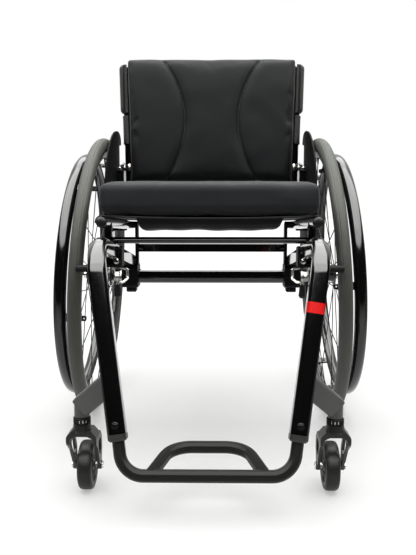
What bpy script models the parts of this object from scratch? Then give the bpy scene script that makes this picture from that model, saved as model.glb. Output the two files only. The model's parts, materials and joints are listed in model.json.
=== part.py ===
# Active wheelchair with a rigid tube frame, cambered quick-release rear wheels, trailing
# castors, a tubular footrest, scissor brakes and a back that folds down onto the seat.
# Metres, +Z up, the chair faces -Y. Below the root empty, Y is counted from the rear axle.
import math
import bmesh
import bpy
from mathutils import Matrix, Vector
from mathutils.geometry import interpolate_bezier

GAP = 0.0003                # seat between two pieces that touch
RUNNING = 0.0006            # clearance where a piece turns or slides past another

# Rear wheels, 24 inch (25-540)
TYRE_RADIUS = 0.295
TYRE_SECTION = 0.0132
CAMBER = math.radians(3.0)
HALF_TRACK = 0.2434
RIM_DEPTH = 0.0195
RIM_WIDTH = 0.0205
RIM_SHOULDER = 0.0050
RIM_BED = 0.0040
HANDRIM_RADIUS = TYRE_RADIUS - 0.0444
HANDRIM_THICK = 0.0095
HANDRIM_BROAD = 0.0128
HANDRIM_OFFSET = 0.0325
HANDRIM_TABS = 6
TAB_WIDTH = 0.016
TAB_THICK = 0.005
WHEEL_STEPS = 40
HUB_HALF = 0.030
FLANGE_RADIUS = 0.023
FLANGE_PLACE = 0.0250
FLANGE_THICK = 0.0042
BARREL_RADIUS = 0.0150
HUB_CAP_RADIUS = 0.0125
SPOKES_PER_FLANGE = 12
SPOKE_RADIUS = 0.0010
SPOKE_APART = 0.0022
SPOKE_LEAD = math.radians(48.0)
PIN_RADIUS = 0.0063
BUTTON_RADIUS = 0.0042
BUTTON_REACH = 0.0050

# Axle tube and its clamping plates
AXLE_TUBE_RADIUS = 0.01425
AXLE_TUBE_WALL = 0.0020
AXLE_TUBE_HALF = HALF_TRACK - 0.0474
PLATE_INNER = HALF_TRACK - 0.0842
PLATE_THICK = 0.0062
PLATE_DEPTH = 0.020
CLAMP_OUTER = HALF_TRACK - 0.0504
CLAMP_DEPTH = 0.052
CLAMP_BELOW = 0.0215

# Side frame tube, from the footrest collar over the knee and back to the axle
FRAME_WIDTH = 0.0275
FRAME_DEPTH = 0.0300
FRAME_CHAMFER = 0.0042
FRAME_WALL = 0.0020
FRAME_FOOT = Vector((HALF_TRACK - 0.1090, -0.5192, 0.1225))
FRAME_KNEE = Vector((HALF_TRACK - 0.0663, -0.4385, 0.3980))
FRAME_REAR = Vector((HALF_TRACK - 0.0634, 0.0450, 0.3175))
KNEE_BEND = 0.055
BEND_STEPS = 7

# Castors, 77 mm, and their arms
CASTOR_RADIUS = 0.0393
CASTOR_WIDTH = 0.023
CASTOR_HEAD = Vector((HALF_TRACK - 0.0472, -0.4720, 0.0))
CASTOR_TRAIL = 0.0375
CASTOR_CORE = 0.0253
CASTOR_STEPS = 24
CROWN_TOP = 0.1222
CROWN_RADIUS = 0.0152
RING_HEIGHT = 0.0097
RING_RADIUS = 0.0134
BARREL_OUTER = 0.0118
BARREL_TOP = 0.1610
STEM_RADIUS = 0.0060
LEG_THICK = 0.0045
LEG_GAP = 0.0172
LEG_LEAN = 0.035
LEG_END = 0.0072
CROWN_FALL = 0.0095
ARCH_FALL = 0.0270
BOSS_RISE = 0.0012
ARM_TALL = 0.032
ARM_DEEP = 0.0250
ARM_ROOT = Vector((HALF_TRACK - 0.0934, -0.4905, 0.1915))
AXLE_BOLT_RADIUS = 0.0040

# Footrest
FOOT_TUBE = 0.0178
FOOT_CHAMFER = 0.0045
FOOT_HEIGHT = 0.0653
FOOT_FRONT = -0.5380
FOOT_BEND = 0.036
FOOT_INSERT = 0.055
ARCH_FOOT = 0.0800
ARCH_TOP = 0.0500
ARCH_BACK = -0.4480
ARCH_RISE = 0.0105
ARCH_BEND = 0.034
COLLAR_LENGTH = 0.0105
COLLAR_SLEEVE = 0.030

# Seat
RAIL_X = HALF_TRACK - 0.0579
RAIL_RADIUS = 0.0095
RAIL_WALL = 0.0015
RAIL_FRONT = -0.3220
RAIL_REAR = 0.0800
SEAT_HEIGHT = 0.4275
SEAT_HEIGHT_AT = -0.3450
SEAT_DUMP = math.radians(3.8)
POST_AT = -0.2700
POST_RADIUS = 0.0075
CROSS_TALL = 0.0120
CROSS_DEEP = 0.0180
CROSS_RAISE = 0.0063
REAR_BAR_TALL = 0.0170
REAR_BAR_DEEP = 0.0080
REAR_BAR_HEIGHT = 0.3540
SLING_THICK = 0.0018
SLING_SAG = 0.0040
POCKET_HALF = 0.1300
POCKET_DROP = 0.0212
CUSHION_FRONT = -0.3260
CUSHION_REAR = 0.0300
CUSHION_HALF = RAIL_X + 0.0010
CUSHION_THICK = 0.0595
CUSHION_CROWN = 0.0055
CUSHION_ROUND = 0.0130

# Side guards
GUARD_X = RAIL_X + 0.0245
GUARD_THICK = 0.0030
GUARD_LOW = SEAT_HEIGHT - 0.0355
GUARD_TOP = SEAT_HEIGHT + 0.1815
GUARD_STEP = SEAT_HEIGHT + 0.0425
GUARD_REAR = 0.0600
BRACKET_DEPTH = 0.016
GUARD_BOLT_AT = Vector((0.0, 0.0440, SEAT_HEIGHT + 0.1000))
GUARD_BRACKETS = (-0.1050, 0.0150)

# Back
PIVOT = Vector((0.0, 0.0750, SEAT_HEIGHT + 0.1015))
RECLINE = math.radians(8.0)
CANE_X = RAIL_X
CANE_RADIUS = 0.0095
CANE_WALL = 0.0015
CANE_SPLAY = 0.035
CANE_BELOW = 0.0480
CANE_ABOVE = 0.2250
BACK_PLATE_X = RAIL_X + 0.0110
BACK_PLATE_THICK = 0.0050
RAIL_BOSSES = (0.0450, 0.0660)
RAIL_BOSS_RADIUS = 0.0060
PIVOT_BOLT_RADIUS = 0.0040
LATCH_RADIUS = 0.0040
LATCH_BELOW = 0.0340
FOLD_ANGLE = math.radians(88.0)
SLEEVE_THICK = 0.0016
SLEEVE_LOW = 0.0530
SLEEVE_HIGH = 0.2320
CUFF_THICK = 0.0062
WRAP_TURN = math.radians(98.0)
NOTCH_LOW = 0.1170
NOTCH_HIGH = 0.1230
STAY_RADIUS = 0.0070
STAY_HEIGHT = 0.0300
BACK_PAD_HALF = CANE_X - 0.0060
BACK_PAD_LOW = -0.0400
BACK_PAD_HIGH = 0.2405
BACK_PAD_THICK = 0.0390
BACK_PAD_DROP = 0.0045
SEAM_DEPTH = 0.0035
SEAM_WAIST = 0.0575
SEAM_WAIST_AT = 0.49
SEAM_BOW = 0.185

# Brakes
BRAKE_BASE_LOW = 0.3440
BRAKE_BASE_THICK = 0.0055
ARM_PIVOT = Vector((RAIL_X + 0.0045, -0.2680, 0.3400))
LEVER_PIVOT = Vector((RAIL_X - 0.0175, -0.2500, 0.3400))
BRAKE_PIN_RADIUS = 0.0030
BRAKE_PLATE = 0.0060
BRAKE_HUB = 0.0075
SHOE_RADIUS = 0.0066
SHOE_IN = HALF_TRACK - 0.0339
SHOE_OUT = HALF_TRACK - 0.0074
SHOE_CLEAR = 0.0016
GRIP_RADIUS = 0.0055
GRIP_LENGTH = 0.0240
LEVER_ROD = 0.0026
LEVER_END = Vector((RAIL_X - 0.0205, -0.2840, 0.3180))

# Values that follow from the sizes above
HUB_HEIGHT = (TYRE_RADIUS - TYRE_SECTION) * math.cos(CAMBER) + TYRE_SECTION
AXLE_TUBE_HEIGHT = HUB_HEIGHT - (HALF_TRACK - PLATE_INNER - PLATE_THICK) * math.tan(CAMBER)
FOOT_REACH = FOOT_FRONT - FOOT_TUBE / 2
AXLE_Y = -(FOOT_REACH + TYRE_RADIUS) / 2
FRONT_RUN = (FRAME_KNEE - FRAME_FOOT).normalized()
REAR_RUN = (FRAME_REAR - FRAME_KNEE).normalized()
PLATE_OUTER = PLATE_INNER + PLATE_THICK
BARREL_LOW = CROWN_TOP + RING_HEIGHT + 2 * GAP
BORE_CHAMFER = FRAME_CHAMFER - FRAME_WALL * 0.6


def clear_scene():
    for item in list(bpy.data.objects):
        bpy.data.objects.remove(item, do_unlink=True)


PALETTE = {
    "frame_black": ((0.010, 0.010, 0.011), 0.25, 0.3),
    "arm_grey": ((0.060, 0.062, 0.060), 0.45, 0.6),
    "black_plastic": ((0.015, 0.015, 0.016), 0.50, 0.0),
    "aluminium": ((0.60, 0.60, 0.58), 0.30, 1.0),
    "tyre_rubber": ((0.035, 0.035, 0.033), 0.75, 0.0),
    "castor_rubber": ((0.045, 0.045, 0.042), 0.60, 0.0),
    "fabric": ((0.012, 0.012, 0.013), 0.90, 0.0),
    "gloss_rim": ((0.006, 0.006, 0.006), 0.12, 0.0),
    "spoke_black": ((0.020, 0.020, 0.020), 0.30, 0.8),
}


def material(name):
    found = bpy.data.materials.get(name)
    if found:
        return found
    colour, roughness, metallic = PALETTE[name]
    made = bpy.data.materials.new(name)
    made.use_nodes = True
    shader = made.node_tree.nodes["Principled BSDF"]
    shader.inputs["Base Color"].default_value = (*colour, 1.0)
    shader.inputs["Roughness"].default_value = roughness
    shader.inputs["Metallic"].default_value = metallic
    return made


def empty(name, location, parent=None, rotation=(0.0, 0.0, 0.0)):
    made = bpy.data.objects.new(name, None)
    made.location = location
    made.rotation_euler = rotation
    made.parent = parent
    bpy.context.scene.collection.objects.link(made)
    return made


def to_mesh(bm):
    bmesh.ops.remove_doubles(bm, verts=bm.verts, dist=1e-7)
    bmesh.ops.recalc_face_normals(bm, faces=bm.faces)
    mesh = bpy.data.meshes.new("shape")
    bm.to_mesh(mesh)
    bm.free()
    return mesh


def add(name, mesh, finish, parent, origin=(0.0, 0.0, 0.0)):
    # The mesh is given in its parent's space and moved so that its origin is where stated.
    origin = Vector(origin)
    mesh = moved(mesh, -origin)
    mesh.name = name
    mesh.materials.clear()
    mesh.materials.append(material(finish))
    mesh.shade_smooth()
    mesh.set_sharp_from_angle(angle=math.radians(32))
    made = bpy.data.objects.new(name, mesh)
    made.location = origin
    made.parent = parent
    bpy.context.scene.collection.objects.link(made)
    return made


def both_sides(name, mesh, finish, parent, origin):
    # Adds the right-hand piece and its mirror image on the left.
    origin = Vector(origin)
    add(name + "_right", mesh, finish, parent, origin)
    add(name + "_left", mirrored(mesh), finish, parent, (-origin.x, origin.y, origin.z))


def mirrored(mesh):
    copy = mesh.copy()
    copy.transform(Matrix.Scale(-1, 4, (1, 0, 0)))
    copy.flip_normals()
    return copy


def moved(mesh, offset):
    copy = mesh.copy()
    copy.transform(Matrix.Translation(offset))
    return copy


def turned_to(mesh, axis, angle, about=(0.0, 0.0, 0.0)):
    copy = mesh.copy()
    centre = Matrix.Translation(about)
    copy.transform(centre @ Matrix.Rotation(angle, 4, axis) @ centre.inverted())
    return copy


def boolean(mesh, tools, operation):
    # Joins or cuts with each tool mesh in turn and returns the result as a new mesh.
    base = bpy.data.objects.new("base", mesh)
    bpy.context.scene.collection.objects.link(base)
    helpers = []
    for tool in tools:
        helper = bpy.data.objects.new("tool", tool)
        bpy.context.scene.collection.objects.link(helper)
        helpers.append(helper)
        step = base.modifiers.new("step", "BOOLEAN")
        step.operation = operation
        step.solver = "EXACT"
        step.object = helper
    graph = bpy.context.evaluated_depsgraph_get()
    result = bpy.data.meshes.new_from_object(base.evaluated_get(graph))
    for item in [base] + helpers:
        bpy.data.objects.remove(item, do_unlink=True)
    bm = bmesh.new()
    bm.from_mesh(result)
    bmesh.ops.dissolve_degenerate(bm, edges=bm.edges, dist=1e-6)
    bmesh.ops.remove_doubles(bm, verts=bm.verts, dist=1e-6)
    loose = [edge for edge in bm.edges if not edge.link_faces]
    bmesh.ops.delete(bm, geom=loose, context="EDGES")
    bm.to_mesh(result)
    bm.free()
    return result


def fused(mesh, *tools):
    return boolean(mesh, tools, "UNION")


def cut(mesh, *tools):
    return boolean(mesh, tools, "DIFFERENCE")


def turned(profile, steps, ring=False):
    # Turns (x, radius) points about the X axis; a ring profile is closed on itself.
    bm = bmesh.new()
    verts = [bm.verts.new((x, 0.0, r)) for x, r in profile]
    edges = [bm.edges.new(two) for two in zip(verts, verts[1:])]
    if ring:
        edges.append(bm.edges.new((verts[-1], verts[0])))
    bmesh.ops.spin(bm, geom=verts + edges, cent=(0, 0, 0), axis=(1, 0, 0),
                   angle=2 * math.pi, steps=steps, use_merge=True)
    bmesh.ops.remove_doubles(bm, verts=bm.verts, dist=1e-6)
    return to_mesh(bm)


def rod(start, end, radius, steps=12):
    start, end = Vector(start), Vector(end)
    length = (end - start).length
    mesh = turned([(0, 0), (0, radius), (length, radius), (length, 0)], steps)
    turn = Vector((1, 0, 0)).rotation_difference(end - start)
    mesh.transform(Matrix.Translation(start) @ turn.to_matrix().to_4x4())
    return mesh


def box(low, high):
    bm = bmesh.new()
    low, high = Vector(low), Vector(high)
    size = Matrix.Diagonal((*(high - low), 1.0))
    bmesh.ops.create_cube(bm, size=1.0, matrix=Matrix.Translation((low + high) / 2) @ size)
    return to_mesh(bm)


def fillet(points, radius, steps, closed=False):
    # Replaces each corner of a path or outline by an arc; radius may be one per point.
    points = [Vector(p) for p in points]
    count = len(points)
    radii = radius if isinstance(radius, (list, tuple)) else [radius] * count
    result = []
    for i, corner in enumerate(points):
        if not closed and i in (0, count - 1):
            result.append(corner)
            continue
        before = (points[i - 1] - corner).normalized()
        after = (points[(i + 1) % count] - corner).normalized()
        half = before.angle(after) / 2
        reach = radii[i] / math.tan(half)
        if radii[i] == 0:
            result.append(corner)
            continue
        centre = corner + (before + after).normalized() * radii[i] / math.sin(half)
        first = corner + before * reach - centre
        last = corner + after * reach - centre
        turn = first.angle(last)
        for k in range(steps + 1):
            share = k / steps
            blend = (math.sin((1 - share) * turn) * first + math.sin(share * turn) * last)
            result.append(centre + blend / math.sin(turn))
    return result


def octagon(width, depth, chamfer):
    a, b, c = width / 2, depth / 2, chamfer
    return [(a, b - c), (a - c, b), (c - a, b), (-a, b - c),
            (-a, c - b), (c - a, -b), (a - c, -b), (a, c - b)]


def oval(width, depth, steps):
    return [(width / 2 * math.cos(2 * math.pi * k / steps),
             depth / 2 * math.sin(2 * math.pi * k / steps)) for k in range(steps)]


def swept(path, section, side):
    # Carries a flat section along a path; side gives the direction of the section's first axis.
    path = [Vector(p) for p in path]
    side = Vector(side)
    bm = bmesh.new()
    rings = []
    for i, point in enumerate(path):
        before = (point - path[i - 1]).normalized() if i else None
        after = (path[i + 1] - point).normalized() if i + 1 < len(path) else None
        along = ((before or after) + (after or before)).normalized()
        across = (side - side.dot(along) * along).normalized()
        other = along.cross(across)
        stretch = 1.0
        if before and after:
            stretch = 1.0 / max(0.5, math.cos(before.angle(after) / 2))
        ring = []
        for a, b in section:
            offset = across * a + other * b
            if stretch > 1.0:
                normal = (after - before).normalized()
                offset += normal * offset.dot(normal) * (stretch - 1.0)
            ring.append(bm.verts.new(point + offset))
        rings.append(ring)
    for low, high in zip(rings, rings[1:]):
        for k in range(len(low)):
            n = (k + 1) % len(low)
            bm.faces.new((low[k], low[n], high[n], high[k]))
    bm.faces.new(rings[0])
    bm.faces.new(rings[-1])
    return to_mesh(bm)


def plate(outline, thickness, holes=()):
    # A flat plate in its own XY plane, from z = 0 up, with true holes through it.
    bm = bmesh.new()
    edges = []
    for loop in (outline, *holes):
        verts = [bm.verts.new((p[0], p[1], 0.0)) for p in loop]
        edges += [bm.edges.new((verts[k - 1], verts[k])) for k in range(len(verts))]
    bmesh.ops.triangle_fill(bm, use_beauty=True, use_dissolve=False, edges=edges)
    made = bmesh.ops.extrude_face_region(bm, geom=bm.faces[:])
    top = [item for item in made["geom"] if isinstance(item, bmesh.types.BMVert)]
    bmesh.ops.translate(bm, verts=top, vec=(0.0, 0.0, thickness))
    return to_mesh(bm)


def stood(mesh, x):
    # Stands a plate drawn as (y, z) on edge, its thickness running outward from x.
    mesh.transform(Matrix(((0, 0, 1, x), (1, 0, 0, 0), (0, 1, 0, 0), (0, 0, 0, 1))))
    return mesh


def faced(mesh, y):
    # Turns a plate drawn as (x, z) to face the front, its thickness running back from y.
    mesh.transform(Matrix(((1, 0, 0, 0), (0, 0, 1, y), (0, 1, 0, 0), (0, 0, 0, 1))))
    mesh.flip_normals()
    return mesh


def circle(centre, radius, steps=16):
    return [(centre[0] + radius * math.cos(2 * math.pi * k / steps),
             centre[1] + radius * math.sin(2 * math.pi * k / steps)) for k in range(steps)]


def flat(points):
    return [(p[0], p[1]) for p in points]


def rounded(points, radius, steps=4):
    return flat(fillet([(x, y, 0.0) for x, y in points], radius, steps, closed=True))


def rail_height(y):
    return SEAT_HEIGHT - math.tan(SEAT_DUMP) * (y - SEAT_HEIGHT_AT)


def rail_point(y, x=RAIL_X):
    return Vector((x, y, rail_height(y)))


def frame_rear_point(y):
    return FRAME_KNEE + REAR_RUN * ((y - FRAME_KNEE.y) / REAR_RUN.y)


def frame_tube(extra=0.0):
    # The right side tube; extra makes the fatter cutter that copes whatever meets it.
    path = fillet([FRAME_FOOT, FRAME_KNEE, FRAME_REAR], KNEE_BEND, BEND_STEPS)
    outer = octagon(FRAME_WIDTH + 2 * extra, FRAME_DEPTH + 2 * extra, FRAME_CHAMFER)
    return swept(path, outer, (1, 0, 0))


def build_side_frames(root):
    tube = frame_tube()
    path = fillet([FRAME_FOOT - FRONT_RUN * FRAME_WALL, FRAME_KNEE,
                   FRAME_REAR - REAR_RUN * FRAME_WALL], KNEE_BEND, BEND_STEPS)
    bore = octagon(FRAME_WIDTH - 2 * FRAME_WALL, FRAME_DEPTH - 2 * FRAME_WALL, BORE_CHAMFER)
    tube = cut(tube, swept(path, bore, (1, 0, 0)))
    both_sides("side_frame", tube, "frame_black", root, FRAME_KNEE)


def build_footrest(root):
    section = octagon(FOOT_TUBE, FOOT_TUBE, FOOT_CHAMFER)
    drop = (FRAME_FOOT.z - FOOT_HEIGHT) / FRONT_RUN.z
    corner = FRAME_FOOT - FRONT_RUN * drop
    corner.y = FOOT_FRONT
    top = FRAME_FOOT + FRONT_RUN * FOOT_INSERT
    lower = FRAME_FOOT - FRONT_RUN * (COLLAR_LENGTH + 0.004)
    left = [Vector((-p.x, p.y, p.z)) for p in (top, lower, corner)]
    path = fillet([top, lower, corner, left[2], left[1], left[0]],
                  [0, 0, FOOT_BEND, FOOT_BEND, 0, 0], 6)
    frame = swept(path, section, (0.0, -1.0, 0.1))
    arch_end = Vector((ARCH_FOOT, FOOT_FRONT, FOOT_HEIGHT))
    arch_corner = Vector((ARCH_TOP, ARCH_BACK, FOOT_HEIGHT + ARCH_RISE))
    arch_path = fillet([arch_end, arch_corner, Vector((-arch_corner.x, *arch_corner.yz)),
                        Vector((-arch_end.x, *arch_end.yz))], ARCH_BEND, 5)
    arch_section = octagon(FOOT_TUBE * 0.96, FOOT_TUBE * 0.96, FOOT_CHAMFER)
    arch = swept(arch_path, arch_section, (0.0, -ARCH_RISE, 1.0))
    frame = fused(frame, arch)
    add("footrest_frame", frame, "black_plastic", root, (0.0, FOOT_FRONT, FOOT_HEIGHT))


def build_collars(root):
    # A plastic bush fills the tube round the footrest leg and ends in a visible collar.
    sleeve_section = octagon(FRAME_WIDTH - 2 * (FRAME_WALL + GAP),
                             FRAME_DEPTH - 2 * (FRAME_WALL + GAP), BORE_CHAMFER)
    outer_section = octagon(FRAME_WIDTH, FRAME_DEPTH, FRAME_CHAMFER)
    end_section = octagon(FRAME_WIDTH - 0.005, FRAME_DEPTH - 0.005, FRAME_CHAMFER)
    hole = octagon(FOOT_TUBE + 2 * GAP, FOOT_TUBE + 2 * GAP, FOOT_CHAMFER)
    start = FRAME_FOOT - FRONT_RUN * GAP
    knee = start - FRONT_RUN * COLLAR_LENGTH * 0.7
    end = start - FRONT_RUN * COLLAR_LENGTH
    side = Vector((1, 0, 0))
    across = (side - side.dot(FRONT_RUN) * FRONT_RUN).normalized()
    other = FRONT_RUN.cross(across)
    bm = bmesh.new()

    def ring(centre, section):
        return [bm.verts.new(centre + across * a + other * b) for a, b in section]

    stations = [(FRAME_FOOT + FRONT_RUN * COLLAR_SLEEVE, sleeve_section), (start, sleeve_section),
                (start, outer_section), (knee, outer_section), (end, end_section), (end, hole),
                (FRAME_FOOT + FRONT_RUN * COLLAR_SLEEVE, hole)]
    rings = [ring(centre, section) for centre, section in stations]
    for low, high in zip(rings, rings[1:] + rings[:1]):
        for k in range(8):
            n = (k + 1) % 8
            bm.faces.new((low[k], low[n], high[n], high[k]))
    collar = to_mesh(bm)
    both_sides("footrest_collar", collar, "black_plastic", root, FRAME_FOOT)


def build_axle(root):
    tube = turned([(-AXLE_TUBE_HALF, AXLE_TUBE_RADIUS), (AXLE_TUBE_HALF, AXLE_TUBE_RADIUS),
                   (AXLE_TUBE_HALF, AXLE_TUBE_RADIUS - AXLE_TUBE_WALL),
                   (-AXLE_TUBE_HALF, AXLE_TUBE_RADIUS - AXLE_TUBE_WALL)], 20, ring=True)
    add("axle_tube", moved(tube, (0, 0, AXLE_TUBE_HEIGHT)), "frame_black", root,
        (0.0, 0.0, AXLE_TUBE_HEIGHT))
    build_camber_inserts(root)
    build_axle_plates(root)


def wheel_turn(side):
    # Local +X is the wheel's outward axis, raised by the camber.
    about_y = Matrix.Rotation(-CAMBER * side, 4, "Y")
    return about_y if side > 0 else about_y @ Matrix.Rotation(math.pi, 4, "Z")


def wheel_place(side):
    return Matrix.Translation((side * HALF_TRACK, 0.0, HUB_HEIGHT)) @ wheel_turn(side)


def build_camber_inserts(root):
    bore = AXLE_TUBE_RADIUS - AXLE_TUBE_WALL - GAP
    inside = AXLE_TUBE_HALF - 0.045
    flange = AXLE_TUBE_HALF + GAP
    nose = HALF_TRACK - HUB_HALF - 0.0013
    insert = turned([(inside, 0), (inside, bore), (flange, bore), (flange, AXLE_TUBE_RADIUS),
                     (flange + 0.004, AXLE_TUBE_RADIUS), (flange + 0.006, 0.0115),
                     (nose, 0.0105), (nose, 0)], 18)
    insert = moved(insert, (0, 0, AXLE_TUBE_HEIGHT))
    bore_rod = rod((-0.12, 0, 0), (0.01, 0, 0), PIN_RADIUS + RUNNING, 12)
    bore_rod.transform(wheel_place(1))
    insert = cut(insert, bore_rod)
    both_sides("camber_insert", insert, "aluminium", root, (flange, 0.0, AXLE_TUBE_HEIGHT))


def build_axle_plates(root):
    # Each plate clamps the axle tube under the side tube and rises to carry the seat rail.
    low = AXLE_TUBE_HEIGHT - CLAMP_BELOW
    top = rail_height(0.0)
    half = CLAMP_DEPTH / 2
    block_outline = rounded([(-half, low), (half, low), (half, FRAME_REAR.z), (-half, FRAME_REAR.z)],
                            0.006, 2)
    block = stood(plate(block_outline, CLAMP_OUTER - PLATE_INNER), PLATE_INNER)
    strip_outline = rounded([(-PLATE_DEPTH / 2, low + 0.01), (PLATE_DEPTH / 2, low + 0.01),
                             (PLATE_DEPTH / 2, top + 0.004), (-PLATE_DEPTH / 2, top + 0.004)],
                            0.004, 1)
    strip = stood(plate(strip_outline, PLATE_THICK), PLATE_INNER)
    lug = rod((PLATE_INNER + 0.001, 0, top), (RAIL_X, 0, top), 0.0072, 12)
    piece = fused(block, strip, lug)
    side_cut = frame_tube(GAP)
    bore = rod((0.14, 0, AXLE_TUBE_HEIGHT), (0.2, 0, AXLE_TUBE_HEIGHT), AXLE_TUBE_RADIUS + GAP, 20)
    rail_cut = rod(rail_point(-0.1), rail_point(0.1), RAIL_RADIUS + GAP, 14)
    slot = box((PLATE_INNER - 0.01, -0.0006, low - 0.01),
               (CLAMP_OUTER + 0.01, 0.0006, AXLE_TUBE_HEIGHT))
    piece = cut(piece, side_cut, bore, rail_cut, slot)
    both_sides("axle_plate", piece, "frame_black", root, (PLATE_INNER, 0.0, AXLE_TUBE_HEIGHT))


def capped_rod(start, end, radius, steps):
    # A rod whose two ends are rounded like a tube with plugs in it.
    start, end = Vector(start), Vector(end)
    length = (end - start).length
    nose = radius * 0.45
    mesh = turned([(-nose, 0), (-nose, radius * 0.6), (0, radius), (length, radius),
                   (length + nose, radius * 0.6), (length + nose, 0)], steps)
    turn = Vector((1, 0, 0)).rotation_difference(end - start)
    mesh.transform(Matrix.Translation(start) @ turn.to_matrix().to_4x4())
    return mesh


def build_seat_frame(root):
    # Two rails on welded posts, tied together by an oval cross tube over the side tubes.
    start, end = rail_point(RAIL_FRONT), rail_point(RAIL_REAR)
    rail = capped_rod(start, end, RAIL_RADIUS, 14)
    foot = frame_rear_point(POST_AT)
    post_x = RAIL_X - 0.003
    post = rod((post_x, POST_AT, foot.z), (post_x, POST_AT, rail_height(POST_AT)), POST_RADIUS, 12)
    height = foot.z + FRAME_DEPTH / 2 + CROSS_RAISE
    path = [(-post_x, POST_AT, height), (post_x, POST_AT, height)]
    bar = swept(path, oval(CROSS_DEEP, CROSS_TALL, 14), (0, 1, 0))
    side_cut = frame_tube(GAP)
    bore = rod(start, end, RAIL_RADIUS - RAIL_WALL, 14)
    vent = rod((RAIL_X, RAIL_REAR - 0.03, rail_height(RAIL_REAR - 0.03) - 0.02),
               rail_point(RAIL_REAR - 0.03), 0.002, 8)
    frame = fused(bar, rail, mirrored(rail), post, mirrored(post))
    frame = cut(frame, side_cut, mirrored(side_cut), bore, mirrored(bore), vent, mirrored(vent))
    add("seat_frame", frame, "frame_black", root, (0.0, POST_AT, height))


def build_rear_bar(root):
    reach = PLATE_INNER - GAP
    shape = octagon(REAR_BAR_DEEP, REAR_BAR_TALL, 0.002)
    rear = swept([(-reach, 0, REAR_BAR_HEIGHT), (reach, 0, REAR_BAR_HEIGHT)], shape, (0, 1, 0))
    flanges = []
    for side in (-1, 1):
        face = side * reach
        flanges.append(rod((face, 0, REAR_BAR_HEIGHT), (face - side * 0.009, 0, REAR_BAR_HEIGHT),
                           0.0065, 12))
    rear = fused(rear, *flanges)
    add("rear_cross_bar", rear, "frame_black", root, (0.0, 0.0, REAR_BAR_HEIGHT))


def build_sling(root):
    # Fabric stretched over both rails, hanging a little between them, with a pocket below.
    bend = math.radians(23)
    radius = (RAIL_RADIUS + GAP) / math.cos(bend / 2) + SLING_THICK / 2
    half = [(RAIL_X + radius * math.cos(a), radius * math.sin(a))
            for a in (bend * (k + 0.1) for k in range(5))]
    spans = 6
    for k in range(1, spans + 1):
        share = 1 - k / spans
        half.append((RAIL_X * share * 0.97, radius - SLING_SAG * (1 - share ** 2)))
    line = half + [(-x, z) for x, z in reversed(half[:-1])]
    upper, lower = [], []
    for i, (x, z) in enumerate(line):
        before = line[max(i - 1, 0)]
        after = line[min(i + 1, len(line) - 1)]
        along = Vector((after[0] - before[0], after[1] - before[1])).normalized()
        normal = Vector((along.y, -along.x)) * SLING_THICK / 2
        upper.append((x + normal.x, z + normal.y))
        lower.append((x - normal.x, z - normal.y))
    outline = upper + lower[::-1]
    front, rear = RAIL_FRONT + 0.004, CUSHION_REAR
    sling = faced(plate(outline, rear - front), front)
    pocket_top = radius - SLING_SAG * 0.5
    low = pocket_top - POCKET_DROP
    pocket_outline = rounded([(-POCKET_HALF, low), (POCKET_HALF, low), (POCKET_HALF, pocket_top),
                              (-POCKET_HALF, pocket_top)], 0.0055, 4)
    pocket = faced(plate(pocket_outline, 0.14), front + 0.03)
    sling = fused(sling, pocket)
    shear = Matrix.Identity(4)
    shear[2][1] = -math.tan(SEAT_DUMP)
    sling.transform(Matrix.Translation((0, 0, rail_height(0.0))) @ shear)
    add("seat_sling", sling, "fabric", root, (0.0, POST_AT, rail_height(POST_AT)))


def pillow(columns, rows, front, back, rim):
    # A closed soft body: front and back are height functions over (x, z) grids, rim insets.
    bm = bmesh.new()
    grids = []
    for height in (front, back):
        grids.append([[bm.verts.new((x, height(x, z), z)) for x in columns(z)] for z in rows])
    a, b = grids
    nr, nc = len(rows), len(a[0])
    for grid in grids:
        for r in range(nr - 1):
            for c in range(nc - 1):
                bm.faces.new((grid[r][c], grid[r][c + 1], grid[r + 1][c + 1], grid[r + 1][c]))
    edge = [(r, 0) for r in range(nr)] + [(nr - 1, c) for c in range(1, nc)]
    edge += [(r, nc - 1) for r in range(nr - 2, -1, -1)] + [(0, c) for c in range(nc - 2, 0, -1)]
    middle = []
    centre = Vector((0.0, 0.0, (rows[0] + rows[-1]) / 2))
    for r, c in edge:
        mid = (a[r][c].co + b[r][c].co) / 2
        out = Vector((mid.x - centre.x, 0.0, mid.z - centre.z))
        spread = Vector((math.copysign(rim, out.x) if c in (0, nc - 1) else 0.0, 0.0,
                         math.copysign(rim, out.z) if r in (0, nr - 1) else 0.0))
        middle.append(bm.verts.new(mid + spread))
    count = len(edge)
    for k in range(count):
        n = (k + 1) % count
        one, two = edge[k], edge[n]
        bm.faces.new((a[one[0]][one[1]], a[two[0]][two[1]], middle[n], middle[k]))
        bm.faces.new((middle[k], middle[n], b[two[0]][two[1]], b[one[0]][one[1]]))
    return to_mesh(bm)


def clustered(half, count, edge_share=0.035):
    # Grid lines from -half to half, drawn together near both ends for a rounded edge.
    inner = [half * (1 - edge_share) * (2 * k / count - 1) for k in range(count + 1)]
    return [-half, -half * (1 - edge_share * 0.35)] + inner + [half * (1 - edge_share * 0.35), half]


def edge_drop(distance, radius):
    if distance >= radius:
        return 0.0
    return radius - math.sqrt(max(0.0, radius ** 2 - (radius - distance) ** 2))


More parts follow.
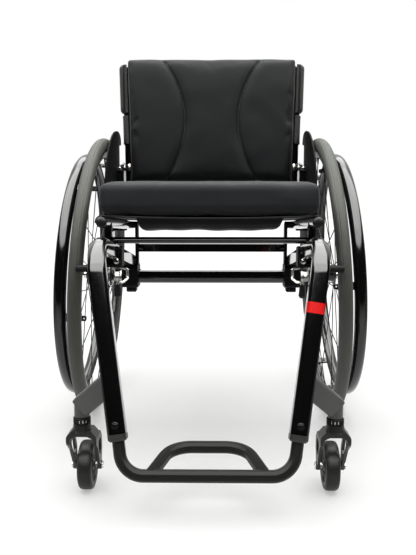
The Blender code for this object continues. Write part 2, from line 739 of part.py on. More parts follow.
def build_cushion(root):
    depth = CUSHION_REAR - CUSHION_FRONT
    half_depth = depth / 2
    half = CUSHION_HALF - 0.003
    base = RAIL_RADIUS + SLING_THICK + 2 * GAP + 0.0004
    columns = clustered(half, 9)
    rows = clustered(half_depth - 0.003, 10)

    def top(x, z):
        near = min(half - abs(x), half_depth - 0.003 - abs(z))
        swell = (1 - (x / half) ** 4) * (1 - (z / half_depth) ** 4)
        return -(CUSHION_THICK - edge_drop(near, CUSHION_ROUND) + CUSHION_CROWN * (swell - 1))

    def bottom(x, z):
        near = min(half - abs(x), half_depth - 0.003 - abs(z))
        return -edge_drop(near, CUSHION_ROUND * 0.6)

    pad = pillow(lambda z: columns, rows, top, bottom, 0.003)
    # The pillow's own (x, depth, z) axes become the seat's width, height and length.
    pad.transform(Matrix(((1, 0, 0, 0), (0, 0, 1, 0), (0, -1, 0, 0), (0, 0, 0, 1))))
    middle = (CUSHION_FRONT + CUSHION_REAR) / 2
    pad.transform(Matrix.Translation((0, middle, rail_height(middle) + base))
                  @ Matrix.Rotation(-SEAT_DUMP, 4, "X"))
    fixed = bmesh.new()
    fixed.from_mesh(pad)
    pad = to_mesh(fixed)
    add("seat_cushion", pad, "fabric", root, (0.0, middle, rail_height(middle) + base))


def guard_outline():
    # Front edge, sweeping top and stepped rear edge, as (y, z).
    top = GUARD_TOP
    curve = [Vector((-0.122, top - 0.109, 0)), Vector((-0.098, top - 0.048, 0)),
             Vector((-0.030, top - 0.003, 0)), Vector((0.048, top, 0))]
    front = interpolate_bezier(*curve, 8)
    curve = [Vector((0.048, top, 0)), Vector((0.080, top + 0.001, 0)),
             Vector((0.104, top - 0.004, 0)), Vector((0.107, top - 0.024, 0))]
    rear = interpolate_bezier(*curve, 6)
    outline = [(-0.134, GUARD_LOW), (-0.130, GUARD_LOW + 0.048)] + flat(front) + flat(rear[1:])
    outline += [(0.102, top - 0.028), (0.078, top - 0.030), (0.076, GUARD_STEP),
                (GUARD_REAR, GUARD_STEP - 0.012), (GUARD_REAR, GUARD_LOW)]
    return outline[::-1]


def build_guards(root):
    guard = stood(plate(guard_outline(), GUARD_THICK), GUARD_X - GUARD_THICK / 2)
    blocks = []
    for y in GUARD_BRACKETS:
        height = rail_height(y)
        low = (RAIL_X + 0.001, y - BRACKET_DEPTH / 2, height - 0.0125)
        high = (GUARD_X, y + BRACKET_DEPTH / 2, height - 0.0020)
        blocks.append(box(low, high))
    boss_start = BACK_PLATE_X + BACK_PLATE_THICK + GAP
    blocks.append(rod((boss_start, *GUARD_BOLT_AT.yz), (GUARD_X, *GUARD_BOLT_AT.yz), 0.0055, 12))
    rail = rod(rail_point(-0.3), rail_point(0.2), RAIL_RADIUS + GAP, 14)
    guard = cut(fused(guard, *blocks), rail)
    both_sides("side_guard", guard, "black_plastic", root, (GUARD_X, 0.0, GUARD_LOW))


def latch_angle():
    # Direction from the pivot down the cane at rest, in the (y, z) plane.
    return math.atan2(-math.cos(RECLINE), -math.sin(RECLINE))


def build_back_plates(root):
    # A plate on each rail holds the pivot; the latch pin runs in its curved slot.
    pivot = PIVOT.yz
    start = latch_angle()
    half = LATCH_RADIUS + RUNNING
    turns = 7
    slot = []
    for radius, order in ((LATCH_BELOW + half, 1), (LATCH_BELOW - half, -1)):
        arc = [start + FOLD_ANGLE * k / turns for k in range(turns + 1)][::order]
        slot += [(pivot.x + radius * math.cos(a), pivot.y + radius * math.sin(a)) for a in arc]
        end = arc[-1]
        middle = (pivot.x + LATCH_BELOW * math.cos(end), pivot.y + LATCH_BELOW * math.sin(end))
        for k in range(1, 4):
            turn = end + math.pi * k / 4 + (0 if order > 0 else math.pi)
            slot.append((middle[0] + half * math.cos(turn), middle[1] + half * math.sin(turn)))
    rim = LATCH_BELOW + half + 0.0065
    sweep = [start - 0.25 + (FOLD_ANGLE + 0.5) * k / turns for k in range(turns + 1)]
    outline = [(pivot.x + rim * math.cos(a), pivot.y + rim * math.sin(a)) for a in sweep]
    outline += [(pivot.x + 0.012, pivot.y + 0.0090), (pivot.x, pivot.y + 0.0125),
                (pivot.x - 0.012, pivot.y + 0.0090), (GUARD_BOLT_AT.y - 0.004, pivot.y + 0.0060),
                (GUARD_BOLT_AT.y - 0.007, pivot.y - 0.0060), (pivot.x - 0.018, pivot.y - 0.026),
                (pivot.x - 0.022, pivot.y - 0.060)]
    low = rail_height(0.03) - 0.0105
    outline += [(0.0340, low + 0.012), (0.0360, low), (0.0740, low - 0.002), (0.0760, low + 0.012),
                (0.0720, pivot.y - 0.060)]
    holes = [slot, circle(pivot, PIVOT_BOLT_RADIUS + GAP, 10)]
    made = stood(plate(outline, BACK_PLATE_THICK, holes), BACK_PLATE_X)
    bosses = [rod((RAIL_X + 0.001, y, rail_height(y)), (BACK_PLATE_X + 0.001, y, rail_height(y)),
                  RAIL_BOSS_RADIUS, 10) for y in RAIL_BOSSES]
    rail = rod(rail_point(-0.1), rail_point(0.2), RAIL_RADIUS + GAP, 14)
    made = cut(fused(made, *bosses), rail)
    both_sides("back_plate", made, "frame_black", root, (BACK_PLATE_X, *PIVOT.yz))


def build_pivot_bolts(root):
    # Washer, spacer and head on one bolt along X, through the cane and the back plate.
    outer = BACK_PLATE_X + BACK_PLATE_THICK
    spacer_start = CANE_X + CANE_RADIUS + RUNNING
    inside = CANE_X - CANE_RADIUS
    steps = [(inside - 0.0050, inside - RUNNING * 2, 0.0066),
             (inside - RUNNING * 2, spacer_start, PIVOT_BOLT_RADIUS),
             (spacer_start, BACK_PLATE_X - GAP, 0.0078),
             (BACK_PLATE_X - GAP, outer + GAP, PIVOT_BOLT_RADIUS),
             (outer + GAP, outer + 0.0032, 0.0068)]
    profile = [(steps[0][0], 0)]
    for start, end, radius in steps:
        profile += [(start, radius), (end, radius)]
    profile.append((steps[-1][1], 0))
    bolt = moved(turned(profile, 12), PIVOT)
    both_sides("back_pivot_bolt", bolt, "aluminium", root, (BACK_PLATE_X, *PIVOT.yz))


def cane_x(height):
    return CANE_X + CANE_SPLAY * height


def cane_point(height):
    return Vector((cane_x(height), 0.0, height))


def cane_hole(height, radius):
    # The small turn keeps the hole's corners off those of the tube.
    hole = rod((CANE_X - 0.03, 0, 0), (CANE_X + 0.03, 0, 0), radius, 10)
    return moved(turned_to(hole, "X", math.radians(7)), (0, 0, height))


def build_back(root):
    # Everything on the folding back is drawn round its pivot, upright, and then reclined.
    back = empty("back_pivot", PIVOT, root, (-RECLINE, 0.0, 0.0))
    foot, top = cane_point(-CANE_BELOW), cane_point(CANE_ABOVE)
    tube = capped_rod(foot, top, CANE_RADIUS, 14)
    bore = rod(foot, top, CANE_RADIUS - CANE_WALL, 14)
    stay_end = cane_x(STAY_HEIGHT)
    stay = rod((-stay_end, 0, STAY_HEIGHT), (stay_end, 0, STAY_HEIGHT), STAY_RADIUS, 12)
    pivot_hole = cane_hole(0.0, PIVOT_BOLT_RADIUS + RUNNING)
    latch_hole = cane_hole(-LATCH_BELOW, LATCH_RADIUS + RUNNING)
    frame = fused(stay, tube, mirrored(tube))
    cutters = [bore, pivot_hole, latch_hole]
    frame = cut(frame, *cutters, *[mirrored(tool) for tool in cutters])
    add("back_frame", frame, "frame_black", back)
    build_back_sling(back)
    build_back_cushion(back)
    build_latches(back)


def splayed(mesh):
    # Leans everything outside the panel outward with the canes.
    for vert in mesh.vertices:
        lean = CANE_SPLAY * vert.co.z * min(1.0, abs(vert.co.x) / (CANE_X - CANE_RADIUS * 1.3))
        vert.co.x += math.copysign(lean, vert.co.x)
    return mesh


def wrap_outline(inner_radius, thick, first, rear_reach):
    # A strip of cloth round one cane seen from above, as (x, y). It starts at a first point
    # in front of the cane, or part of the way round it if there is none.
    radius = inner_radius + thick / 2
    line = [Vector(first)] if first else []
    start = -WRAP_TURN if first else -WRAP_TURN * 0.67
    turns = 7
    line += [Vector((CANE_X + radius * math.cos(a), radius * math.sin(a)))
             for a in (start + (WRAP_TURN - start) * k / turns for k in range(turns + 1))]
    line.append(Vector((rear_reach, radius)))
    outer, inner = [], []
    for i, point in enumerate(line):
        along = (line[min(i + 1, len(line) - 1)] - line[max(i - 1, 0)]).normalized()
        normal = Vector((along.y, -along.x)) * thick / 2
        outer.append(tuple(point + normal))
        inner.append(tuple(point - normal))
    return outer + inner[::-1]


def build_back_sling(back):
    # One sheet between the canes, a thin sleeve round each, and padded cuffs on the upper part.
    clear = (CANE_RADIUS + GAP) / math.cos(WRAP_TURN / 7)
    sheet_y = -(clear + SLEEVE_THICK / 2)
    sheet = box((-CANE_X, sheet_y - SLEEVE_THICK / 2, BACK_PAD_LOW),
                (CANE_X, sheet_y + SLEEVE_THICK / 2, SLEEVE_HIGH - 0.004))
    thin = wrap_outline(clear, SLEEVE_THICK * 1.1, (CANE_X - 0.02, sheet_y), CANE_X - 0.024)
    padded = wrap_outline(clear + 0.0004, CUFF_THICK, None, CANE_X - 0.026)
    bands = [(thin, SLEEVE_LOW, NOTCH_LOW), (thin, NOTCH_HIGH, SLEEVE_HIGH),
             (padded, NOTCH_HIGH + 0.0005, SLEEVE_HIGH - 0.001)]
    for outline, low, high in bands:
        band = moved(plate(outline, high - low), (0, 0, low))
        sheet = fused(sheet, band, mirrored(band))
    add("back_sling", splayed(sheet), "fabric", back, (0, 0, SLEEVE_LOW))


def seam_x(share):
    # The sewn seam bows towards the middle of the back, from its foot (0) to its top (1).
    return SEAM_WAIST + SEAM_BOW * (share - SEAM_WAIST_AT) ** 2


def build_back_cushion(back):
    height = BACK_PAD_HIGH - BACK_PAD_LOW
    middle = (BACK_PAD_HIGH + BACK_PAD_LOW) / 2
    half_height = height / 2 - 0.003
    half = BACK_PAD_HALF - 0.003
    rows = clustered(half_height, 10)
    rear = -(CANE_RADIUS + SLEEVE_THICK + 3 * GAP)
    groove = 0.005

    def columns(z):
        seam = seam_x((z + half_height) / (2 * half_height))
        right = [seam * 0.5, seam - groove, seam, seam + groove]
        outer = half * 0.965
        right += [seam + groove + (outer - seam - groove) * k / 3 for k in range(1, 4)]
        right += [half * 0.988, half]
        return [-x for x in reversed(right)] + [0.0] + right

    def front(x, z):
        near = min(half - abs(x), half_height - abs(z))
        seam = seam_x((z + half_height) / (2 * half_height))
        sewn = SEAM_DEPTH if abs(abs(x) - seam) < groove / 2 else 0.0
        side = abs(x) / half
        hollow = 0.006 * (1 - side ** 2)
        belly = 0.004 * (1 - (z / half_height) ** 2)
        return rear - BACK_PAD_THICK + edge_drop(near, 0.014) + sewn + hollow - belly

    def back_face(x, z):
        near = min(half - abs(x), half_height - abs(z))
        return rear - edge_drop(near, 0.006)

    pad = pillow(columns, rows, front, back_face, 0.003)
    for vert in pad.vertices:
        share = (vert.co.z + half_height) / (2 * half_height)
        drop = BACK_PAD_DROP * max(0.0, share) ** 3 * (vert.co.x / half) ** 6
        vert.co.z += middle - drop
        vert.co.x += CANE_SPLAY * vert.co.z * vert.co.x / half
    add("back_cushion", pad, "fabric", back, (0, rear, middle))


def build_latches(back):
    # A spring pin through each cane locks the back; its knob is drawn inward to let go.
    for side, name in ((1, "right"), (-1, "left")):
        tip = BACK_PLATE_X + BACK_PLATE_THICK + 0.0008
        wall = CANE_X - CANE_RADIUS - 0.0024
        pin = turned([(wall - 0.0110, 0), (wall - 0.0110, 0.0060), (wall - 0.0095, 0.0070),
                      (wall - 0.0025, 0.0070), (wall, 0.0055), (wall, LATCH_RADIUS),
                      (tip - 0.0015, LATCH_RADIUS), (tip, LATCH_RADIUS * 0.6), (tip, 0)], 10)
        pin = moved(pin, (0, 0, -LATCH_BELOW))
        if side < 0:
            pin = mirrored(pin)
        add("back_latch_" + name, pin, "aluminium", back, (side * CANE_X, 0, -LATCH_BELOW))


def build_castor_arms(root):
    barrel = turned([(BARREL_LOW, 0), (BARREL_LOW, BARREL_OUTER - 0.0012),
                     (BARREL_LOW + 0.0012, BARREL_OUTER), (BARREL_TOP - 0.0012, BARREL_OUTER),
                     (BARREL_TOP, BARREL_OUTER - 0.0012), (BARREL_TOP + 0.0020, BARREL_OUTER * 0.6),
                     (BARREL_TOP + 0.0020, 0)], 18)
    barrel.transform(Matrix.Translation(CASTOR_HEAD) @ Matrix.Rotation(-math.pi / 2, 4, "Y"))
    centre = CASTOR_HEAD + Vector((0, 0, (BARREL_LOW + BARREL_TOP) / 2 + 0.003))
    section = octagon(ARM_DEEP, ARM_TALL, 0.0025)
    along = (centre - ARM_ROOT).normalized()
    arm = swept([ARM_ROOT - along * 0.004, centre - along * 0.001], section, (0, 1, 0))
    # The arm is trimmed flush with the barrel's outer side and its two ends.
    trim_low = box((0.1, -0.6, 0.0), (0.3, -0.4, BARREL_LOW))
    housing = fused(arm, barrel)
    tube_cut = frame_tube(GAP)
    bore = rod((CASTOR_HEAD.x, CASTOR_HEAD.y, 0.1),
               (CASTOR_HEAD.x, CASTOR_HEAD.y, BARREL_TOP - 0.0015 + GAP), STEM_RADIUS + GAP, 16)
    inner_side = box((0.08, -0.6, 0.1), (ARM_ROOT.x - 0.016, -0.4, 0.3))
    edge = CASTOR_HEAD.x + BARREL_OUTER + 0.0004
    outer_side = box((edge, -0.6, 0.1), (edge + 0.05, -0.4, 0.3))
    housing = cut(housing, tube_cut, trim_low, bore, inner_side, outer_side)
    housing = largest_part(housing)
    both_sides("castor_arm", housing, "arm_grey", root, (*CASTOR_HEAD.xy, BARREL_LOW))


def largest_part(mesh):
    # Keeps only the connected part with the most vertices.
    bm = bmesh.new()
    bm.from_mesh(mesh)
    left = set(bm.verts)
    parts = []
    while left:
        stack = [left.pop()]
        part = set(stack)
        while stack:
            vert = stack.pop()
            for edge in vert.link_edges:
                other = edge.other_vert(vert)
                if other in left:
                    left.discard(other)
                    part.add(other)
                    stack.append(other)
        parts.append(part)
    keep = max(parts, key=len)
    bmesh.ops.delete(bm, geom=[v for v in bm.verts if v not in keep], context="VERTS")
    return to_mesh(bm)


def build_castor_rings(root):
    low = CROWN_TOP + GAP
    ring = turned([(low, RING_RADIUS), (low + RING_HEIGHT, RING_RADIUS),
                   (low + RING_HEIGHT, STEM_RADIUS + GAP), (low, STEM_RADIUS + GAP)], 16, ring=True)
    ring.transform(Matrix.Translation(CASTOR_HEAD) @ Matrix.Rotation(-math.pi / 2, 4, "Y"))
    both_sides("castor_head_ring", ring, "black_plastic", root, (*CASTOR_HEAD.xy, low))


def castor_leg():
    # One fork leg as (y, z): wide under the crown, narrow at the axle, with a window.
    centre_y, centre_z = CASTOR_TRAIL, CASTOR_RADIUS
    end = [(centre_y + LEG_END * math.cos(a), centre_z + LEG_END * math.sin(a))
           for a in (math.radians(d) for d in range(-150, 31, 36))]
    low = CROWN_TOP - ARCH_FALL
    outline = [(-0.0110, low - 0.004), (0.0080, 0.0760)] + end
    outline += [(0.0450, 0.0700), (0.0390, 0.0900), (0.0260, low + 0.006), (-0.0110, low + 0.006)]
    window = rounded([(0.0050, 0.0885), (0.0200, 0.0630), (0.0370, 0.0610), (0.0320, 0.0860),
                      (0.0210, 0.0920)], 0.0035, 1)
    leg = stood(plate(outline, LEG_THICK, [window]), 0.0)
    for vert in leg.vertices:
        vert.co.x += LEG_GAP + LEG_LEAN * (vert.co.z - CASTOR_RADIUS)
    return leg


def castor_fork():
    foot = CROWN_TOP - CROWN_FALL - 0.004
    crown = turned([(foot, 0), (foot, CROWN_RADIUS), (CROWN_TOP - CROWN_FALL, CROWN_RADIUS),
                    (CROWN_TOP, RING_RADIUS), (CROWN_TOP, STEM_RADIUS),
                    (BARREL_TOP - 0.0015, STEM_RADIUS), (BARREL_TOP - 0.0015, 0)], 16)
    crown.transform(Matrix.Rotation(-math.pi / 2, 4, "Y"))
    low = CROWN_TOP - ARCH_FALL
    high = CROWN_TOP - CROWN_FALL
    outer = LEG_GAP + LEG_THICK + LEG_LEAN * (low - CASTOR_RADIUS) + 0.0003
    arch = [(-outer, low), (-outer + 0.0010, low + 0.0085), (-CROWN_RADIUS, high),
            (CROWN_RADIUS, high), (outer - 0.0010, low + 0.0085), (outer, low),
            (outer - LEG_THICK, low), (0.0165, low + 0.0050), (0.0090, low + 0.0085),
            (-0.0090, low + 0.0085), (-0.0165, low + 0.0050), (-outer + LEG_THICK, low)]
    bridge = faced(plate(arch, 0.0300), -0.0120)
    leg = castor_leg()
    boss = rod((LEG_GAP - BOSS_RISE, CASTOR_TRAIL, CASTOR_RADIUS),
               (LEG_GAP + LEG_THICK + BOSS_RISE, CASTOR_TRAIL, CASTOR_RADIUS), 0.0066, 12)
    fork = fused(bridge, crown, leg, mirrored(leg), boss, mirrored(boss))
    hole = rod((-0.04, CASTOR_TRAIL, CASTOR_RADIUS), (0.04, CASTOR_TRAIL, CASTOR_RADIUS),
               AXLE_BOLT_RADIUS + GAP, 10)
    return cut(fork, hole)


def build_castors(root):
    fork = castor_fork()
    half = CASTOR_WIDTH / 2
    inner = CASTOR_CORE + GAP
    tread = [(half * 0.75, inner), (half, inner + 0.0045), (half * 0.88, CASTOR_RADIUS - 0.0030),
             (half * 0.45, CASTOR_RADIUS)]
    tread += [(-x, r) for x, r in reversed(tread)]
    tyre = turned(tread, CASTOR_STEPS, ring=True)
    hub = 0.0098
    core_side = [(hub, AXLE_BOLT_RADIUS + GAP), (hub, 0.0085), (0.0040, 0.0105), (0.0040, 0.0200),
                 (half * 0.72, CASTOR_CORE)]
    core = turned(core_side + [(-x, r) for x, r in reversed(core_side)], CASTOR_STEPS, ring=True)
    spacer_in, spacer_out = hub + GAP, LEG_GAP - BOSS_RISE - GAP
    head = LEG_GAP + LEG_THICK + BOSS_RISE + GAP
    bolt_side = [(spacer_in, AXLE_BOLT_RADIUS), (spacer_in, 0.0056), (spacer_out, 0.0056),
                 (spacer_out, AXLE_BOLT_RADIUS), (head, AXLE_BOLT_RADIUS), (head, 0.0058),
                 (head + 0.0020, 0.0050), (head + 0.0020, 0)]
    bolt = turned([(-x, r) for x, r in reversed(bolt_side)] + bolt_side, 10)
    axle = (0.0, CASTOR_TRAIL, CASTOR_RADIUS)
    for side, name in ((1, "right"), (-1, "left")):
        swivel = empty("castor_swivel_" + name, (side * CASTOR_HEAD.x, CASTOR_HEAD.y, 0.0), root)
        spin = empty("castor_spin_" + name, axle, swivel)
        add("castor_fork_" + name, fork.copy(), "black_plastic", swivel)
        add("castor_axle_" + name, moved(bolt, axle), "aluminium", swivel, axle)
        add("castor_tyre_" + name, tyre.copy(), "castor_rubber", spin)
        add("castor_core_" + name, core.copy(), "black_plastic", spin)


def wheel_tyre():
    major = TYRE_RADIUS - TYRE_SECTION
    bead = math.radians(128)
    section = []
    steps = 7
    for k in range(steps + 1):
        angle = -bead + 2 * bead * k / steps
        section.append((TYRE_SECTION * math.sin(angle), major + TYRE_SECTION * math.cos(angle)))
    return turned(section, WHEEL_STEPS, ring=True), section[0][1]


def wheel_rim(bead_radius):
    top = bead_radius - GAP
    low = top - RIM_DEPTH
    half = RIM_WIDTH / 2
    side = [(half - 0.0004, top), (half, top - RIM_SHOULDER), (RIM_BED, low)]
    return turned(side + [(-x, r) for x, r in reversed(side)], WHEEL_STEPS, ring=True), low


def spoked_hub(rim_low):
    # Leading and trailing spokes leave each flange side by side and cross without touching.
    bore = PIN_RADIUS + GAP
    near = FLANGE_PLACE - FLANGE_THICK / 2
    far = FLANGE_PLACE + FLANGE_THICK / 2
    side = [(HUB_HALF, bore), (HUB_HALF, HUB_CAP_RADIUS), (far, HUB_CAP_RADIUS),
            (far, FLANGE_RADIUS), (near, FLANGE_RADIUS), (near - 0.003, BARREL_RADIUS)]
    hub = turned(side + [(-x, r) for x, r in reversed(side)], 18, ring=True)
    inner = FLANGE_RADIUS - 0.0026
    outer = rim_low * math.cos(math.pi / WHEEL_STEPS) - GAP - SPOKE_RADIUS * 0.4
    spokes = []
    count = 2 * SPOKES_PER_FLANGE
    for k in range(count):
        flange = 1 if k % 2 else -1
        lead = 1 if k % 4 < 2 else -1
        at_rim = 2 * math.pi * k / count
        at_hub = at_rim - lead * SPOKE_LEAD
        hub_x = flange * FLANGE_PLACE + lead * SPOKE_APART / 2
        rim_x = flange * SPOKE_APART / 2 + lead * SPOKE_APART / 2
        start = (hub_x, inner * math.sin(at_hub), inner * math.cos(at_hub))
        end = (rim_x, outer * math.sin(at_rim), outer * math.cos(at_rim))
        spokes.append(rod(start, end, SPOKE_RADIUS, 4))
    return fused(hub, *spokes)


def wheel_handrim(rim_low):
    around = 8
    profile = [(HANDRIM_OFFSET + HANDRIM_BROAD * math.sin(2 * math.pi * k / around),
                HANDRIM_RADIUS + HANDRIM_THICK * math.cos(2 * math.pi * k / around))
               for k in range(around)]
    ring = turned(profile, WHEEL_STEPS, ring=True)
    # Each tab ends against the sloping side of the rim.
    seat = rim_low + RIM_DEPTH * 0.42
    facet = seat * (1 - math.cos(math.pi / WHEEL_STEPS))
    share = (seat + facet - rim_low) / (RIM_DEPTH - RIM_SHOULDER)
    rim_side = RIM_BED + (RIM_WIDTH / 2 - RIM_BED) * share + GAP
    tabs = []
    for k in range(HANDRIM_TABS):
        angle = math.radians(15) + 2 * math.pi * k / HANDRIM_TABS
        tab = box((rim_side, -TAB_WIDTH / 2, seat - TAB_THICK),
                  (HANDRIM_OFFSET - HANDRIM_BROAD * 0.55, TAB_WIDTH / 2, seat))
        tabs.append(turned_to(tab, "X", angle))
    return fused(ring, *tabs)


def build_wheels(root):
    tyre, bead_radius = wheel_tyre()
    rim, rim_low = wheel_rim(bead_radius)
    parts = {
        "wheel_tyre_": (tyre, "tyre_rubber"),
        "wheel_rim_": (rim, "gloss_rim"),
        "wheel_hub_": (spoked_hub(rim_low), "spoke_black"),
        "handrim_": (wheel_handrim(rim_low), "gloss_rim"),
    }
    bore = BUTTON_RADIUS + GAP
    cap_in = HUB_HALF + GAP + RUNNING
    cap_out = cap_in + 0.0050
    pin = turned([(-0.085, 0), (-0.085, PIN_RADIUS), (cap_in, PIN_RADIUS), (cap_in, 0.0105),
                  (cap_out - 0.001, 0.0105), (cap_out, 0.0095), (cap_out, bore),
                  (cap_in - 0.012, bore), (cap_in - 0.012, 0)], 14)
    button = turned([(cap_in - 0.0050, 0), (cap_in - 0.0050, BUTTON_RADIUS),
                     (cap_out + BUTTON_REACH - 0.001, BUTTON_RADIUS),
                     (cap_out + BUTTON_REACH, BUTTON_RADIUS * 0.75),
                     (cap_out + BUTTON_REACH, 0)], 10)
    for side, name in ((1, "right"), (-1, "left")):
        turn = wheel_turn(side).to_euler()
        place = (side * HALF_TRACK, 0.0, HUB_HEIGHT)
        fixed = empty("axle_line_" + name, place, root, turn)
        add("quick_release_pin_" + name, pin.copy(), "aluminium", fixed)
        hub = empty("wheel_spin_" + name, place, root, turn)
        for stem, (mesh, finish) in parts.items():
            add(stem + name, mesh.copy(), finish, hub)
        add("axle_button_" + name, button.copy(), "black_plastic", fixed, (cap_out, 0, 0))


def shoe_place():
    # The shoe lies square across the front of the tyre, just clear of the tread.
    height = ARM_PIVOT.z + 0.0032
    rise = height - HUB_HEIGHT
    tyre_x = HALF_TRACK - rise * math.sin(CAMBER)
    inset = min(abs(tyre_x - SHOE_OUT), TYRE_SECTION)
    tread = TYRE_RADIUS - TYRE_SECTION + math.sqrt(TYRE_SECTION ** 2 - inset ** 2)
    reach = tread + SHOE_RADIUS + SHOE_CLEAR
    return -math.sqrt(reach ** 2 - rise ** 2), height


def build_brakes(root):
    base_top = BRAKE_BASE_LOW + BRAKE_BASE_THICK
    inner, outer = RAIL_X - 0.0280, RAIL_X + 0.0155
    front, rear = ARM_PIVOT.y - 0.0180, ARM_PIVOT.y + 0.0300
    outline = rounded([(inner, front), (outer, front), (outer, rear - 0.0120),
                       (outer - 0.0150, rear), (inner, rear)], 0.006, 1)
    base = moved(plate(outline, BRAKE_BASE_THICK), (0, 0, BRAKE_BASE_LOW))
    hook_x = FRAME_KNEE.x - FRAME_WIDTH / 2
    hook_low, hook_high = base_top - 0.0040, base_top + 0.0315
    hook_front, hook_rear = front + 0.0095, rear - 0.0095
    hook = stood(plate(rounded([(hook_front, hook_low), (hook_rear, hook_low),
                                (hook_rear, hook_high - 0.0040), (hook_front + 0.0065, hook_high),
                                (hook_front, hook_high - 0.0035)], 0.003, 1),
                       0.0053), hook_x - 0.0060)
    bridge = box((hook_x - 0.0050, front + 0.0080, base_top - 0.0030),
                 (RAIL_X + 0.0105, rear - 0.0080, base_top + 0.0145))
    pins = []
    low = ARM_PIVOT.z - BRAKE_PLATE / 2 - 0.0030
    for pivot in (ARM_PIVOT, LEVER_PIVOT):
        head = rod((pivot.x, pivot.y, low), (pivot.x, pivot.y, low + 0.0024), 0.0050, 10)
        shank = rod((pivot.x, pivot.y, low + 0.001), (pivot.x, pivot.y, BRAKE_BASE_LOW + 0.002),
                    BRAKE_PIN_RADIUS, 8)
        pins += [head, shank]
    body = cut(fused(base, hook, bridge, *pins), frame_tube(GAP))
    both_sides("brake_body", body, "black_plastic", root, ARM_PIVOT)
    shoe_y, shoe_z = shoe_place()
    arm = brake_arm(shoe_y, shoe_z)
    shoe = brake_shoe(shoe_y, shoe_z)
    lever = brake_lever()
    grip = brake_grip()
    both_sides("brake_arm", arm, "aluminium", root, ARM_PIVOT)
    both_sides("brake_shoe", shoe, "tyre_rubber", root, ARM_PIVOT)
    both_sides("brake_lever", lever, "aluminium", root, LEVER_PIVOT)
    both_sides("brake_grip", grip, "black_plastic", root, LEVER_PIVOT)


def brake_arm(shoe_y, shoe_z):
    low = ARM_PIVOT.z - BRAKE_PLATE / 2
    end = Vector((SHOE_IN - 0.0055, shoe_y))
    along = (end - ARM_PIVOT.xy).normalized()
    across = Vector((-along.y, along.x))
    hub, width = BRAKE_HUB, 0.0052
    outline = []
    for k in range(7):
        angle = math.pi / 2 + math.pi * k / 6
        outline.append(ARM_PIVOT.xy + along * hub * math.cos(angle) + across * hub * math.sin(angle))
    for k in range(5):
        angle = -math.pi / 2 + math.pi * k / 4
        outline.append(end + along * width * math.cos(angle) + across * width * math.sin(angle))
    hole = circle(ARM_PIVOT.xy, BRAKE_PIN_RADIUS + GAP, 8)
    blade = moved(plate(flat(outline), BRAKE_PLATE, [hole]), (0, 0, low))
    spindle = rod((SHOE_IN - 0.0100, shoe_y, shoe_z), (SHOE_OUT - 0.004, shoe_y, shoe_z), 0.0030, 8)
    block = rod((SHOE_IN - 0.0100, shoe_y, shoe_z), (SHOE_IN - GAP, shoe_y, shoe_z), 0.0060, 10)
    return fused(blade, block, spindle)


def brake_shoe(shoe_y, shoe_z):
    shoe = turned([(SHOE_OUT - 0.003, 0), (SHOE_OUT - 0.003, 0.0030 + GAP),
                   (SHOE_IN, 0.0030 + GAP), (SHOE_IN, SHOE_RADIUS),
                   (SHOE_OUT - 0.001, SHOE_RADIUS), (SHOE_OUT, SHOE_RADIUS - 0.001),
                   (SHOE_OUT, 0)], 12)
    return moved(shoe, (0, shoe_y, shoe_z))


def brake_lever():
    low = LEVER_PIVOT.z - BRAKE_PLATE / 2
    hub = plate(circle(LEVER_PIVOT.xy, BRAKE_HUB, 12), BRAKE_PLATE,
                [circle(LEVER_PIVOT.xy, BRAKE_PIN_RADIUS + GAP, 8)])
    hub = moved(hub, (0, 0, low))
    start = LEVER_PIVOT + Vector((-0.0055, -0.0020, 0.0))
    bends = ((-0.0180, -0.0100, -0.0020), (-0.0200, -0.0250, -0.0170), (-0.0120, -0.0340, -0.0230))
    path = fillet([start, *(LEVER_PIVOT + Vector(bend) for bend in bends),
                   LEVER_END, LEVER_END - Vector((0, 0, 0.010))],
                  [0, 0.006, 0.006, 0.006, 0.004, 0], 2)
    wire = swept(path, oval(2 * LEVER_ROD, 2 * LEVER_ROD, 6), (0.35, 0.9, 0.2))
    return fused(hub, wire)


def brake_grip():
    socket = LEVER_ROD + GAP
    top = LEVER_END.z - 0.0052
    low = top - GRIP_LENGTH
    shape = turned([(top - 0.0070, 0), (top - 0.0070, socket), (top, socket),
                    (top, GRIP_RADIUS * 0.85), (low + 0.004, GRIP_RADIUS * 1.15),
                    (low, GRIP_RADIUS * 0.7), (low, 0)], 10)
    shape.transform(Matrix.Translation((LEVER_END.x, LEVER_END.y, 0))
                    @ Matrix.Rotation(-math.pi / 2, 4, "Y"))
    return shape


def build():
    clear_scene()
    root = empty("chair", (0.0, AXLE_Y, 0.0))
    build_side_frames(root)
    build_footrest(root)
    build_collars(root)
    build_axle(root)
    build_seat_frame(root)
    build_rear_bar(root)
    build_sling(root)
    build_cushion(root)
    build_guards(root)
    build_back_plates(root)
    build_pivot_bolts(root)
    build_back(root)
    build_castor_arms(root)
    build_castor_rings(root)
    build_castors(root)
    build_wheels(root)
    build_brakes(root)


build()
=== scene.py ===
# Active wheelchair: materials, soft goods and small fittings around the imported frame.
import json
import math
import bmesh
import bpy
from mathutils import Matrix, Vector, noise

